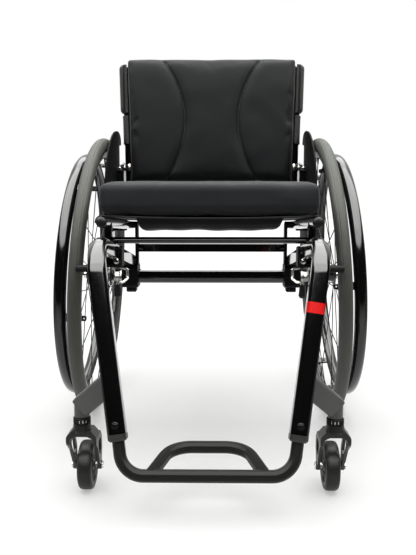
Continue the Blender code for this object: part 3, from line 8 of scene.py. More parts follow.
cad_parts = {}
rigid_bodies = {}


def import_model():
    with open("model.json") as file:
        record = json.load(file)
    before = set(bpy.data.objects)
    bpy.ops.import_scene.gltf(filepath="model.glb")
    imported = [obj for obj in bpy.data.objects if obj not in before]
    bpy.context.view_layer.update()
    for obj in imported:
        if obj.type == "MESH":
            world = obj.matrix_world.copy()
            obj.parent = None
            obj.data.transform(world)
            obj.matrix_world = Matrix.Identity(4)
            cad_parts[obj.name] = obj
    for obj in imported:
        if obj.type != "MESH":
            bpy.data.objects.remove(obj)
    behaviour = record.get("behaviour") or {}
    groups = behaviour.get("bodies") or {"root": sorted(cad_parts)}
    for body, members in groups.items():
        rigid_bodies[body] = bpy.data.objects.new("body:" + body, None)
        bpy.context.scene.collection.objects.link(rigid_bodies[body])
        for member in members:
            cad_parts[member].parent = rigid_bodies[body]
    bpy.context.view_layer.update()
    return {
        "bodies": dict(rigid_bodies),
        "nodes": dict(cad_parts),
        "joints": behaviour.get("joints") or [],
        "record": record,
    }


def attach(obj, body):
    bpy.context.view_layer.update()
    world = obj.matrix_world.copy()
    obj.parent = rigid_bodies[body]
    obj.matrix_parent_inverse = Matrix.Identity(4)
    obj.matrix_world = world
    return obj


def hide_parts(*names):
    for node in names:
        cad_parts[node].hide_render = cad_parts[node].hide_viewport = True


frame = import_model()
print("frame loaded:", len(frame["nodes"]), "nodes")

axleY = 0.12595  # the rear axle's place along Y in the frame
sides = {"right": 1, "left": -1}
black, white = (0.0, 0.0, 0.0, 1.0), (1.0, 1.0, 1.0, 1.0)


class NodeTree:  # short calls for adding and joining nodes
    def __init__(self, tree):
        self.tree = tree

    def put(self, value, socket):  # joins an output to the socket, or sets a plain value there
        if hasattr(value, "is_output"):
            self.tree.links.new(value, socket)
        else:
            socket.default_value = value

    def add(self, kind, inputs=None, **settings):
        node = self.tree.nodes.new("ShaderNode" + kind)
        for key, value in settings.items():
            setattr(node, key, value)
        for label, value in (inputs or {}).items():
            self.put(value, node.inputs[label])
        return node

    def math(self, operation, first, second=0.0):
        return self.add("Math", {0: first, 1: second}, operation=operation).outputs[0]

    def noise(self, vector, scale, detail=3.0, rough=0.55):
        values = {"Vector": vector, "Scale": scale, "Detail": detail, "Roughness": rough}
        return self.add("TexNoise", values).outputs["Fac"]

    def range(self, value, low, high, newLow=0.0, newHigh=1.0):
        values = {"Value": value, "From Min": low, "From Max": high, "To Min": newLow, "To Max": newHigh}
        return self.add("MapRange", values).outputs["Result"]

    def mix(self, factor, first, second, blend="MIX"):
        node = self.add("Mix", data_type="RGBA", blend_type=blend)
        for socket, value in zip([s for s in node.inputs if s.enabled], (factor, first, second)):
            self.put(value, socket)
        return [s for s in node.outputs if s.enabled][0]

    def coords(self, kind="Object"):
        return self.add("TexCoord").outputs[kind]

    def split(self, vector):
        return self.add("SeparateXYZ", {0: vector}).outputs


# groups shared by several materials
def newGroup(name, inputs, outputs):
    group = bpy.data.node_groups.new(name, "ShaderNodeTree")
    for label, value in inputs.items():
        kind = "NodeSocketVector" if isinstance(value, tuple) else "NodeSocketFloat"
        group.interface.new_socket(name=label, in_out="INPUT", socket_type=kind).default_value = value
    for label in outputs:
        group.interface.new_socket(name=label, in_out="OUTPUT", socket_type="NodeSocketFloat")
    given = group.nodes.new("NodeGroupInput").outputs
    made = group.nodes.new("NodeGroupOutput").inputs
    return group, NodeTree(group), given, made


driftScale, speckScale, patchScale, wobbleScale = 14.0, 420.0, 9.0, 30.0
speckEdge, patchEdge = (0.62, 0.74), (0.42, 0.70)
# painted shade: the weave darkens its valleys and lightens its crowns in the colour, standing in for the
# shading between threads
weavePaintedShade = (0.86, 1.08)  # from the valleys of the weave to its crowns


def mottleGroup():  # slow drift of tone, fine grain and specks of dust
    group, tree, given, made = newGroup("mottle", {"Drift": 0.1, "Grain Scale": 900.0, "Dust": 0.1},
                                        ["Tone", "Grain", "Dust"])
    coords = tree.coords()
    drift = tree.math("SUBTRACT", tree.noise(coords, driftScale, 4.0), 0.5)
    drift = tree.math("MULTIPLY", drift, given["Drift"])
    tree.put(tree.math("ADD", drift, 1.0), made["Tone"])
    tree.put(tree.noise(coords, given["Grain Scale"], 2.0, 0.5), made["Grain"])
    specks = tree.range(tree.noise(coords, speckScale, 2.0, 0.7), *speckEdge)
    patches = tree.range(tree.noise(coords, patchScale, 3.0), *patchEdge)
    dust = tree.math("MULTIPLY", tree.math("MULTIPLY", specks, patches), given["Dust"])
    tree.put(dust, made["Dust"])
    return group


def weaveGroup():  # plain weave of round threads, over and under, at a given count per metre
    group, tree, given, made = newGroup("weave", {"Threads": 900.0, "Unevenness": 0.3},
                                        ["Height", "PaintedShade"])
    coords = tree.coords()
    wobble = tree.math("MULTIPLY", tree.noise(coords, wobbleScale, 2.0), given["Unevenness"])
    x, y, z = tree.split(coords)
    waves = []
    for place in (x, tree.math("ADD", y, z)):
        turns = tree.math("ADD", tree.math("MULTIPLY", place, given["Threads"]), wobble)
        waves.append(tree.math("SINE", tree.math("MULTIPLY", turns, math.pi)))
    height = tree.range(tree.math("MULTIPLY", *waves), -1.0, 1.0)
    tree.put(height, made["Height"])
    # this output paints shade into the weave's valleys and light onto its crowns
    tree.put(tree.range(height, 0.0, 1.0, *weavePaintedShade), made["PaintedShade"])
    return group


def brushedGroup():  # fine drawn lines along one direction
    group, tree, given, made = newGroup("brushed", {"Stretch": (40.0, 900.0, 900.0)}, ["Height"])
    stretch = tree.add("VectorMath", {0: tree.coords(), 1: given["Stretch"]}, operation="MULTIPLY")
    tree.put(tree.noise(stretch.outputs[0], 1.0, 3.0), made["Height"])
    return group


groups = {"mottle": mottleGroup(), "weave": weaveGroup(), "brushed": brushedGroup()}
print("shader groups ready")

# materials: colour, roughness and what differs from a plain surface
moulded = dict(grain=1500.0, grainDepth=0.00005)
padding = dict(sheen=0.14, sheenRough=0.45, weave=1500.0, dust=0.006, drift=0.25)
finishLook = {
    "frameBlack": ((0.0030, 0.0030, 0.0034), 0.12,
                   dict(coat=0.5, coatRough=0.04, grain=500.0, grainDepth=0.00003, dust=0.008)),
    "brakeBlack": ((0.005, 0.005, 0.005), 0.50, dict(moulded, specular=0.12, dust=0.015)),
    "footBlack": ((0.0165, 0.0165, 0.0152), 0.33, dict(specular=0.11, dust=0.02)),
    "armGrey": ((0.074, 0.076, 0.071), 0.42, dict(metallic=0.25, dust=0.05)),
    "mouldedBlack": ((0.007, 0.007, 0.007), 0.40, dict(moulded, specular=0.32, dust=0.04)),
    "mouldedGrey": ((0.019, 0.019, 0.018), 0.42, dict(moulded, specular=0.4, dust=0.05)),
    "guardBlack": ((0.004, 0.004, 0.004), 0.62,
                   dict(specular=0.07, grain=1200.0, grainDepth=0.00004, dust=0.008)),
    "forkBlack": ((0.0125, 0.0125, 0.0115), 0.36,
                  dict(specular=0.45, grain=1500.0, grainDepth=0.00004, dust=0.03)),
    "castAluminium": ((0.62, 0.61, 0.58), 0.30, dict(metallic=1.0, dust=0.0, brushed=(60.0, 900.0, 900.0))),
    "boltSteel": ((0.70, 0.70, 0.68), 0.22, dict(metallic=1.0, dust=0.0)),
    "footSteel": ((0.030, 0.030, 0.029), 0.24, dict(metallic=0.9, dust=0.0)),
    "boltBlack": ((0.020, 0.020, 0.020), 0.30, dict(metallic=0.6, dust=0.03)),
    "tyreRubber": ((0.044, 0.0455, 0.0370), 0.56,
                   dict(specular=0.4, sheen=0.06, sheenRough=0.6, grain=1300.0, grainDepth=0.00008,
                        dust=0.22, drift=0.35)),
    "castorRubber": ((0.0105, 0.0105, 0.0098), 0.42,
                     dict(specular=0.26, grain=1500.0, grainDepth=0.00003, dust=0.03)),
    "handrimGloss": ((0.004, 0.004, 0.0042), 0.10,
                     dict(coat=0.10, coatRough=0.03, grainDepth=0.00001, dust=0.02)),
    "rimBlack": ((0.010, 0.010, 0.010), 0.26, dict(coat=0.2, coatRough=0.1, dust=0.06)),
    "spokeBlack": ((0.016, 0.016, 0.016), 0.28, dict(metallic=0.7, dust=0.0)),
    "padCloth": ((0.0056, 0.0060, 0.0067), 0.58, dict(padding, specular=0.14)),
    # painted light: a lighter copy of padCloth, so the seat cushion's front face shows brighter than the
    # back cushion
    "seatClothPaintedLight": ((0.0112, 0.0117, 0.0132), 0.58, dict(padding, specular=0.16)),
    "cuffCloth": ((0.018, 0.018, 0.017), 0.55,
                  dict(sheen=0.20, sheenRough=0.4, specular=0.35, weave=1200.0, weaveDepth=0.00015,
                       dust=0.03)),
    "seamThread": ((0.006, 0.006, 0.006), 0.70, dict(sheen=0.1, weave=2600.0, weaveDepth=0.0001, dust=0.0)),
    "slingNylon": ((0.009, 0.0095, 0.0095), 0.55,
                   dict(sheen=0.06, specular=0.18, weave=800.0, weaveDepth=0.0002, dust=0.02)),
    "redBand": ((0.80, 0.004, 0.004), 0.30, dict(coat=0.3, coatRough=0.1, dust=0.0)),
}
shaderSockets = {"metallic": "Metallic", "coat": "Coat Weight", "coatRough": "Coat Roughness",
                 "sheen": "Sheen Weight", "sheenRough": "Sheen Roughness", "specular": "Specular IOR Level"}
dustColour = (0.32, 0.31, 0.29, 1.0)
bumpStrength = 0.6


def surface(name, colour, rough, drift=0.15, grain=900.0, grainDepth=0.00002, dust=0.10, weave=None,
            weaveDepth=0.00012, brushed=None, **fixed):
    made = bpy.data.materials.new(name)
    made.use_nodes = True
    tree = NodeTree(made.node_tree)
    shader = made.node_tree.nodes["Principled BSDF"].inputs
    for key, value in fixed.items():
        shader[shaderSockets[key]].default_value = value
    mottle = tree.add("Group", {"Drift": drift, "Grain Scale": grain, "Dust": dust},
                      node_tree=groups["mottle"]).outputs
    toned = tree.mix(1.0, (*colour, 1.0), mottle["Tone"], "MULTIPLY")
    height, depth = mottle["Grain"], grainDepth
    if weave:
        cloth = tree.add("Group", {"Threads": weave}, node_tree=groups["weave"]).outputs
        # the weave's painted shade and painted light multiply into the colour
        toned = tree.mix(1.0, toned, cloth["PaintedShade"], "MULTIPLY")
        height, depth = cloth["Height"], weaveDepth
    if brushed:
        height = tree.add("Group", {"Stretch": brushed}, node_tree=groups["brushed"]).outputs["Height"]
    tree.put(tree.mix(mottle["Dust"], toned, dustColour), shader["Base Color"])
    spread = tree.range(mottle["Grain"], 0.3, 0.7, max(0.02, rough - 0.04), rough + 0.05)
    tree.put(spread, shader["Roughness"])
    bump = tree.add("Bump", {"Strength": bumpStrength, "Distance": depth, "Height": height})
    tree.put(bump.outputs["Normal"], shader["Normal"])
    return made


finishes = {name: surface(name, colour, rough, **more)
            for name, (colour, rough, more) in finishLook.items()}

nodeFinish = {
    "frameBlack": "side_frame axle_tube seat_frame rear_cross_bar back_plate back_frame",
    "armGrey": "castor_arm", "brakeBlack": "axle_plate brake_body brake_shoe",
    "footBlack": "footrest_frame", "mouldedGrey": "footrest_collar castor_core",
    "mouldedBlack": "castor_head_ring axle_button brake_grip", "guardBlack": "side_guard",
    "boltSteel": "quick_release_pin back_pivot_bolt castor_axle",
    "castAluminium": "camber_insert back_latch brake_arm brake_lever",
    "slingNylon": "seat_sling back_sling", "padCloth": "seat_cushion back_cushion",
    "tyreRubber": "wheel_tyre", "rimBlack": "wheel_rim", "spokeBlack": "wheel_hub",
    "handrimGloss": "handrim", "forkBlack": "castor_fork", "castorRubber": "castor_tyre",
}
easedNodes = {  # the width of the bevel on a carried-over part's edges
    "castor_arm": 0.0011, "axle_plate": 0.0009, "footrest_collar": 0.0007, "side_guard": 0.0006,
    "back_plate": 0.0007, "brake_body": 0.0008, "castor_fork": 0.0009, "brake_arm": 0.0005,
    "brake_grip": 0.0005, "camber_insert": 0.0005,
}
easing = {"segments": 3, "limit_method": "ANGLE", "angle_limit": math.radians(40), "harden_normals": False}


def dressNodes():
    finishOf = {stem: finish for finish, stems in nodeFinish.items() for stem in stems.split()}
    for name, node in frame["nodes"].items():
        stem = name.rsplit("_", 1)[0] if name.endswith(("_right", "_left")) else name
        node.data.materials.clear()
        node.data.materials.append(finishes[finishOf[stem]])
        if stem in easedNodes:
            bevel = node.modifiers.new("eased", "BEVEL")
            for key, value in {"width": easedNodes[stem], **easing}.items():
                setattr(bevel, key, value)


dressNodes()
print("materials on", len(frame["nodes"]), "nodes")


def placed(name, data, place=(0.0, 0.0, 0.0)):
    made = bpy.data.objects.new(name, data)
    bpy.context.scene.collection.objects.link(made)
    made.location = place
    return made


# camera, light and floor
view = {"focal": 44.31, "film": 36.0, "place": (0.0133, -1.4929 + axleY, 0.485),
        "turn": (82.497, 0.0, 0.776)}
studio = {"ceiling": 1.0, "softbox": 6.0, "rear": 0.80, "front": 0.010, "tint": (0.985, 1.0, 0.975, 1.0),
          "dim": 0.05, "dimTop": 1.00, "rearFill": 0.45,
          # where the ceiling, the rear wall and the softbox begin, as parts of a unit direction
          "ceilingEdge": (0.50, 0.60), "rearEdge": (0.22, 0.52), "boxEdge": (0.48, 0.53),
          "cutAside": (0.20, 0.38), "cutBehind": (0.34, 0.52), "boxFall": (0.0, 0.8, 1.0, 0.45)}
lamp = {"place": (0.0, -0.20, 2.4), "aim": (0.0, 0.10, 0.0), "size": 3.0, "power": 45.0}
floorPaint = {"place": (0.0, 0.25, -0.0006), "size": 9.0, "colour": (0.95, 0.951, 0.936, 1.0),
              "tone": (0.3, 0.7, 0.985, 1.0),
              "lift": 0.30, "fadeFrom": 0.45, "fadeTo": 1.55,  # the paint gives way to plain white
              # where gloss sees a dark floor: ahead of and beside the chair, each with its fade
              "darkFrom": -0.67, "aheadFade": 0.5, "darkSide": 0.45, "sideFade": 0.6, "sideMost": 0.8,
              "dark": (0.01, 0.01, 0.01, 1.0)}


def buildCamera():
    camera = placed("camera", bpy.data.cameras.new("camera"), view["place"])
    camera.data.sensor_fit = "VERTICAL"
    camera.data.sensor_height = view["film"]
    camera.data.lens = view["focal"]
    camera.rotation_euler = [math.radians(a) for a in view["turn"]]
    bpy.context.scene.camera = camera
    bpy.context.scene.view_settings.view_transform = "Standard"


def buildWorld():
    world = bpy.data.worlds.new("studio")
    bpy.context.scene.world = world
    world.use_nodes = True
    world.node_tree.nodes.clear()
    tree = NodeTree(world.node_tree)
    x, y, z = tree.split(tree.coords("Generated"))
    up, behind = tree.range(z, *studio["ceilingEdge"]), tree.range(y, *studio["rearEdge"])
    pale = tree.math("MAXIMUM", up, tree.math("MULTIPLY", behind, studio["rear"]))
    cut = tree.range(tree.math("ABSOLUTE", x), *studio["cutAside"])
    cut = tree.math("MULTIPLY", cut, tree.range(y, *studio["cutBehind"]))
    high = tree.range(z, *studio["boxEdge"], 0.0, studio["softbox"])
    high = tree.math("MULTIPLY", high, tree.math("SUBTRACT", 1.0, cut))
    high = tree.math("MULTIPLY", high, tree.range(y, *studio["boxFall"]))
    seen = tree.math("ADD", tree.range(pale, 0.0, 1.0, studio["front"], studio["ceiling"]), high)
    given = tree.math("MAXIMUM", up, tree.math("MULTIPLY", behind, studio["rearFill"]))
    given = tree.range(given, 0.0, 1.0, studio["dim"], studio["dimTop"])
    plain, fill, gloss = [tree.add("Background", {"Color": colour, "Strength": strength}).outputs[0]
                          for colour, strength in ((white, 1.0), (white, given), (studio["tint"], seen))]
    path = tree.add("LightPath").outputs
    light = tree.add("MixShader", {0: path["Is Glossy Ray"], 1: fill, 2: gloss}).outputs[0]
    light = tree.add("MixShader", {0: path["Is Camera Ray"], 1: light, 2: plain}).outputs[0]
    tree.add("OutputWorld", {"Surface": light})


def buildLamp():
    light = bpy.data.lights.new("overhead", "AREA")
    light.shape = "RECTANGLE"
    light.size = light.size_y = lamp["size"]
    light.energy = lamp["power"]
    made = placed("overhead", light, lamp["place"])
    aim = Vector(lamp["aim"]) - Vector(lamp["place"])
    made.rotation_euler = aim.to_track_quat("-Z", "Y").to_euler()


def buildFloor():
    bm = bmesh.new()
    bmesh.ops.create_grid(bm, x_segments=2, y_segments=2, size=floorPaint["size"])
    mesh = bpy.data.meshes.new("floor")
    bm.to_mesh(mesh)
    bm.free()
    floor = placed("floor", mesh, floorPaint["place"])
    made = bpy.data.materials.new("floorPaint")
    made.use_nodes = True
    tree = NodeTree(made.node_tree)
    shader = made.node_tree.nodes["Principled BSDF"]
    place = tree.coords()
    low = tree.range(tree.noise(place, 1.5, 3.0), *floorPaint["tone"])
    painted = tree.mix(1.0, floorPaint["colour"], low, "MULTIPLY")
    away = tree.add("VectorMath", {0: place}, operation="LENGTH").outputs["Value"]
    far = tree.range(away, floorPaint["fadeFrom"], floorPaint["fadeTo"], floorPaint["lift"], 1.0)
    looks = {"Roughness": 0.6, "Specular IOR Level": 0.2, "Emission Strength": 1.0,
             "Base Color": tree.mix(far, painted, black), "Emission Color": tree.mix(far, black, white)}
    for label, value in looks.items():
        tree.put(value, shader.inputs[label])
    x, y = tree.split(place)[:2]
    front, side = floorPaint["darkFrom"], floorPaint["darkSide"]
    ahead = tree.range(y, front, front - floorPaint["aheadFade"])
    aside = tree.range(tree.math("ABSOLUTE", x), side, side + floorPaint["sideFade"], 0.0,
                       floorPaint["sideMost"])
    dark = tree.math("MAXIMUM", ahead, aside)
    dark = tree.math("MULTIPLY", dark, tree.add("LightPath").outputs["Is Glossy Ray"])
    unlit = tree.add("BsdfDiffuse", {"Color": floorPaint["dark"]})
    blend = tree.add("MixShader", {0: dark, 1: shader.outputs[0], 2: unlit.outputs[0]})
    tree.put(blend.outputs[0], made.node_tree.nodes["Material Output"].inputs["Surface"])
    mesh.materials.append(made)


buildCamera()
buildWorld()
buildFloor()
buildLamp()
print("studio ready")


# mesh helpers
def toMesh(bm):
    bmesh.ops.recalc_face_normals(bm, faces=bm.faces[:])
    mesh = bpy.data.meshes.new("made")
    bm.to_mesh(mesh)
    bm.free()
    return mesh


def joined(*meshes):
    bm = bmesh.new()
    for mesh in meshes:
        bm.from_mesh(mesh)
    return toMesh(bm)


def moved(mesh, offset):
    mesh.transform(Matrix.Translation(offset))
    return mesh


def mirrored(mesh):
    made = mesh.copy()
    made.transform(Matrix.Scale(-1.0, 4, (1, 0, 0)))
    made.flip_normals()
    return made


def onBothSides(*meshes):
    return joined(*meshes, *[mirrored(mesh) for mesh in meshes])


def addPiece(name, mesh, finish, body, stands=(), sharp=38.0):
    mesh.name = name
    mesh.shade_smooth()
    mesh.set_sharp_from_angle(angle=math.radians(sharp))
    mesh.materials.clear()
    mesh.materials.append(finishes[finish])
    made = placed(name, mesh)
    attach(made, body)
    if stands:
        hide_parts(*stands)
    return made


def lofted(rings, wrap=True, caps=True, loop=False):  # a skin over rings of points
    bm = bmesh.new()
    rings = [[bm.verts.new(point) for point in ring] for ring in rings]
    count = len(rings[0])
    for low, high in zip(rings, rings[1:] + (rings[:1] if loop else [])):
        for k in range(count if wrap else count - 1):
            n = (k + 1) % count
            bm.faces.new((low[k], low[n], high[n], high[k]))
    if caps:
        bm.faces.new(rings[0])
        bm.faces.new(rings[-1])
    return toMesh(bm)


def turned(profile, steps, ring=False):  # (x, radius) points turned about the X axis
    bm = bmesh.new()
    verts = [bm.verts.new((x, 0.0, r)) for x, r in profile]
    edges = [bm.edges.new(two) for two in zip(verts, verts[1:])]
    if ring:
        edges.append(bm.edges.new((verts[-1], verts[0])))
    bmesh.ops.spin(bm, geom=verts + edges, cent=(0, 0, 0), axis=(1, 0, 0),
                   angle=2 * math.pi, steps=steps, use_merge=True)
    bmesh.ops.remove_doubles(bm, verts=bm.verts, dist=1e-6)
    return toMesh(bm)


def bothEnds(side):  # a profile followed by its mirror image across x = 0
    return side + [(-x, r) for x, r in reversed(side)]


def along(mesh, start, end):  # carries a mesh drawn along +X from the origin onto start, towards end
    start, end = Vector(start), Vector(end)
    turn = Vector((1, 0, 0)).rotation_difference(end - start)
    mesh.transform(Matrix.Translation(start) @ turn.to_matrix().to_4x4())
    return mesh


def rod(start, end, radius, steps=24, edge=0.0):
    length = (Vector(end) - Vector(start)).length
    profile = [(edge, radius), (length - edge, radius)]
    if edge:
        profile = [(0, radius - edge), *profile, (length, radius - edge)]
    return along(turned([(0, 0), *profile, (length, 0)], steps), start, end)


def fillet(points, radius, steps, closed=False):  # rounds the corners of a path or outline
    points = [Vector(p) for p in points]
    count = len(points)
    radii = radius if isinstance(radius, list) else [radius] * count
    result = []
    for i, corner in enumerate(points):
        if radii[i] == 0 or (not closed and i in (0, count - 1)):
            result.append(corner)
            continue
        before = (points[i - 1] - corner).normalized()
        after = (points[(i + 1) % count] - corner).normalized()
        half = before.angle(after) / 2
        reach = radii[i] / math.tan(half)
        centre = corner + (before + after).normalized() * radii[i] / math.sin(half)
        first = corner + before * reach - centre
        last = corner + after * reach - centre
        turn = first.angle(last)
        for k in range(steps + 1):
            share = k / steps
            blend = math.sin((1 - share) * turn) * first + math.sin(share * turn) * last
            result.append(centre + blend / math.sin(turn))
    return result


def rounded(points, radius, steps=4):
    return [(p.x, p.y) for p in fillet([(x, y, 0.0) for x, y in points], radius, steps, closed=True)]


def octagon(width, depth, chamfer, soft=0.00216):  # eight-sided section, every corner eased
    a, b, c = width / 2, depth / 2, chamfer
    corners = [(a, b - c), (a - c, b), (c - a, b), (-a, b - c),
               (-a, c - b), (c - a, -b), (a - c, -b), (a, c - b)]
    return rounded(corners, soft, 2)


def oval(width, depth, steps, centre=(0.0, 0.0)):
    turns = [2 * math.pi * k / steps for k in range(steps)]
    return [(centre[0] + width / 2 * math.cos(a), centre[1] + depth / 2 * math.sin(a)) for a in turns]


def swept(path, section, side, sizes=None):  # carries a section, or one per point, along a path
    path, side = [Vector(p) for p in path], Vector(side)
    rings = []
    for i, point in enumerate(path):
        before = (point - path[i - 1]).normalized() if i else None
        after = (path[i + 1] - point).normalized() if i + 1 < len(path) else None
        heading = ((before or after) + (after or before)).normalized()
        across = (side - side.dot(heading) * heading).normalized()
        other = heading.cross(across)
        size = sizes[i] if sizes else 1.0
        here = section[i] if isinstance(section[0], list) else section
        rings.append([point + (across * a + other * b) * size for a, b in here])
    return lofted(rings)


def plate(outline, thickness, holes=(), edge=0.0):  # flat plate in XY from z = 0, with eased edges
    bm = bmesh.new()
    edges = []
    for loop in (outline, *holes):
        verts = [bm.verts.new((p[0], p[1], 0.0)) for p in loop]
        edges += [bm.edges.new((verts[k - 1], verts[k])) for k in range(len(verts))]
    bmesh.ops.triangle_fill(bm, use_beauty=True, use_dissolve=False, edges=edges)
    made = bmesh.ops.extrude_face_region(bm, geom=bm.faces[:])
    top = [item for item in made["geom"] if isinstance(item, bmesh.types.BMVert)]
    bmesh.ops.translate(bm, verts=top, vec=(0.0, 0.0, thickness))
    if edge:
        bmesh.ops.recalc_face_normals(bm, faces=bm.faces[:])
        sharp = [e for e in bm.edges if len(e.link_faces) == 2 and e.calc_face_angle() > 1.0]
        bmesh.ops.bevel(bm, geom=sharp, offset=edge, segments=2, affect="EDGES", clamp_overlap=True)
    return toMesh(bm)


def block(corners, bend, steps, y, thickness, edge):  # a rounded plate drawn in (x, z), from y backwards
    mesh = plate(rounded(corners, bend, steps), thickness, edge=edge)
    mesh.transform(Matrix(((1, 0, 0, 0), (0, 0, 1, y + axleY), (0, 1, 0, 0), (0, 0, 0, 1))))
    mesh.flip_normals()
    return mesh


def boltHead(radius, height, socket=0.45):  # domed cap screw along +X, with a hexagon socket
    rim = radius * 0.86
    dome = [(height * math.sin(a), radius - (radius - rim) * (1 - math.cos(a)))
            for a in (math.pi / 2 * k / 5 for k in range(6))]
    hole = radius * socket
    head = turned([(0, 0), (0, radius), *dome, (height, hole * 1.15)], 32)
    well = turned([(height, hole * 1.15), (height * 0.3, hole), (height * 0.3, 0)], 6)
    return joined(head, well)


def screwIn(place, away, radius, height):  # a cap screw on a washer, pointing along away
    place, away = Vector((place[0], place[1] + axleY, place[2])), Vector(away)
    washer = [(0, 0), (0, radius * 1.45), (0.0008, radius * 1.45), (0.0011, radius * 1.3), (0.0011, 0)]
    return joined(along(turned(washer, 36), place, place + away),
                  along(boltHead(radius, height), place + away * 0.0010, place + away))


def endPlug(radius):  # plug with a rounded nose, along +X
    tall, wide = 0.0042, radius * 1.02
    nose = [(tall * math.sin(a), wide * math.cos(a) ** 0.8) for a in (math.pi / 16 * k for k in range(8))]
    return turned([(-0.004, 0), (-0.004, radius * 0.8), (-0.0004, wide), *nose, (tall, 0)], 40)


# wheels
wheelSize = {"radius": 0.295, "section": 0.0132, "halfTrack": 0.2434, "hubHeight": 0.294614,
             "camber": math.radians(3.0), "rimTop": 0.27337, "rimLow": 0.25387, "rimHalf": 0.01025,
             "steps": 160, "groove": 0.00055, "valveAt": {"right": 270, "left": 102}}
handrimSize = {"radius": 0.2506, "thick": 0.0095, "broad": 0.0120, "offset": 0.0333, "tabs": 6,
               "turn": {"right": math.radians(32.5), "left": math.radians(41.5)}, "tabThick": 0.0046,
               "tab": [(-0.0168, -0.0046), (-0.0040, -0.0050), (0.0072, -0.0080), (0.0255, -0.0070),
                       (0.0255, 0.0070), (0.0072, 0.0080), (-0.0040, 0.0050), (-0.0168, 0.0046)]}
hubSize = {"half": 0.030, "flange": 0.023, "flangeAt": 0.0250, "flangeThick": 0.0042, "barrel": 0.0150,
           "cap": 0.0125, "bore": 0.0066, "spokes": 24, "spokeRadius": 0.0010, "apart": 0.0022,
           "lead": math.radians(48.0), "holeIn": 0.0026}


def wheelPlace(side):
    turn = Matrix.Rotation(-wheelSize["camber"] * side, 4, "Y")
    if side < 0:
        turn = turn @ Matrix.Rotation(math.pi, 4, "Z")
    return Matrix.Translation((side * wheelSize["halfTrack"], axleY, wheelSize["hubHeight"])) @ turn


def tyreMesh():  # a round section with fine grooves in its crown and a bead tucked in the rim
    reach, steps, bead, crown = wheelSize["section"], 52, math.radians(128), math.radians(34)
    major = wheelSize["radius"] - reach
    section = []
    for k in range(steps + 1):
        angle = -bead + 2 * bead * k / steps
        grooved = abs(angle) < crown and k % 4 == 2
        here = reach - wheelSize["groove"] if grooved else reach
        section.append((here * math.sin(angle), major + here * math.cos(angle)))
    low = section[0][1] - 0.0008
    return turned(section + [(0.0088, low), (-0.0088, low)], wheelSize["steps"], ring=True)


def rimMesh():
    top, low, half = wheelSize["rimTop"], wheelSize["rimLow"], wheelSize["rimHalf"]
    side = [(half - 0.0012, top), (half - 0.0003, top - 0.0006), (half, top - 0.0020),
            (half, top - 0.0048), (half - 0.0007, top - 0.0062), (0.0062, low + 0.0028),
            (0.0048, low + 0.0008), (0.0030, low)]
    well = [(-half + 0.0022, top - 0.0004), (-half + 0.0030, top - 0.0050), (-0.0030, top - 0.0085)]
    return turned(bothEnds(side) + bothEnds(well), wheelSize["steps"], ring=True)


def onWheel(x, radius, angle):
    return Vector((x, radius * math.sin(angle), radius * math.cos(angle)))


def valveMesh(angle):  # valve stem with its nut and cap, pointing at the hub
    stem = turned([(-0.002, 0), (-0.002, 0.0042), (0.0012, 0.0042), (0.0012, 0.0030), (0.0180, 0.0028),
                   (0.0185, 0.0038), (0.0265, 0.0036), (0.0280, 0.0024), (0.0280, 0)], 20)
    return along(stem, onWheel(0.0, wheelSize["rimLow"], angle), (0.0, 0.0, 0.0))


def handrimMesh(name):  # the ring and its tabs, each with a screw and an eyelet
    middle = (handrimSize["offset"], handrimSize["radius"])
    section = oval(2 * handrimSize["broad"], 2 * handrimSize["thick"], 28, middle)
    parts = [turned(section, wheelSize["steps"] + 40, ring=True)]
    low = wheelSize["rimLow"] - 0.0040
    hole = oval(0.0040, 0.0040, 16, (-0.0122, 0.0))
    strap = plate(rounded(handrimSize["tab"], 0.0030, 3), handrimSize["tabThick"], [hole], 0.0006)
    screw = along(boltHead(0.0034, 0.0016), (0.0152, 0, low + 0.0001), (0.0152, 0, 0))
    tab = joined(moved(strap, (0, 0, low)), screw)
    for k in range(handrimSize["tabs"]):
        parts.append(tab.copy())
        angle = -handrimSize["turn"][name] - 2 * math.pi * k / handrimSize["tabs"]
        parts[-1].transform(Matrix.Rotation(angle, 4, "X"))
    return joined(*parts)


def hubMesh():
    half, flange, cap, barrel = (hubSize[key] for key in ("half", "flange", "cap", "barrel"))
    near = hubSize["flangeAt"] - hubSize["flangeThick"] / 2
    far = near + hubSize["flangeThick"]
    side = [(half, hubSize["bore"]), (half, 0.0112), (half - 0.0012, cap), (far + 0.0006, cap),
            (far, cap + 0.0008), (far, flange - 0.0006), (far - 0.0006, flange), (near + 0.0006, flange),
            (near, flange - 0.0006), (near, barrel + 0.0020), (near - 0.0020, barrel), (0.0120, 0.0128)]
    return turned(bothEnds(side), 64, ring=True)


def spokeMeshes():
    nipple = [(0, 0.0026), (0.0022, 0.0024), (0.0026, 0.0018), (0.0125, 0.0017), (0.0132, 0.0012),
              (0.0132, 0)]
    spokes, nipples = [], []
    for k in range(hubSize["spokes"]):
        flange = 1 if k % 2 else -1
        lead = 1 if k % 4 < 2 else -1
        atRim = 2 * math.pi * k / hubSize["spokes"]
        aside = lead * hubSize["apart"] / 2
        start = onWheel(flange * hubSize["flangeAt"] + aside, hubSize["flange"] - hubSize["holeIn"],
                        atRim - lead * hubSize["lead"])
        end = onWheel(flange * hubSize["apart"] / 2 + aside, wheelSize["rimLow"] - 0.0002, atRim)
        out = Vector((lead, 0.0, 0.0))
        spokes += [rod(start, end, hubSize["spokeRadius"], 8),
                   rod(start - out * 0.0036, start + out * 0.0012, 0.0012, 8),
                   rod(start + out * 0.0010, start + out * 0.0019, 0.0021, 10, 0.0003)]
        nipples.append(along(turned(nipple, 12), end, end + (start - end).normalized()))
    return joined(*spokes), joined(*nipples)


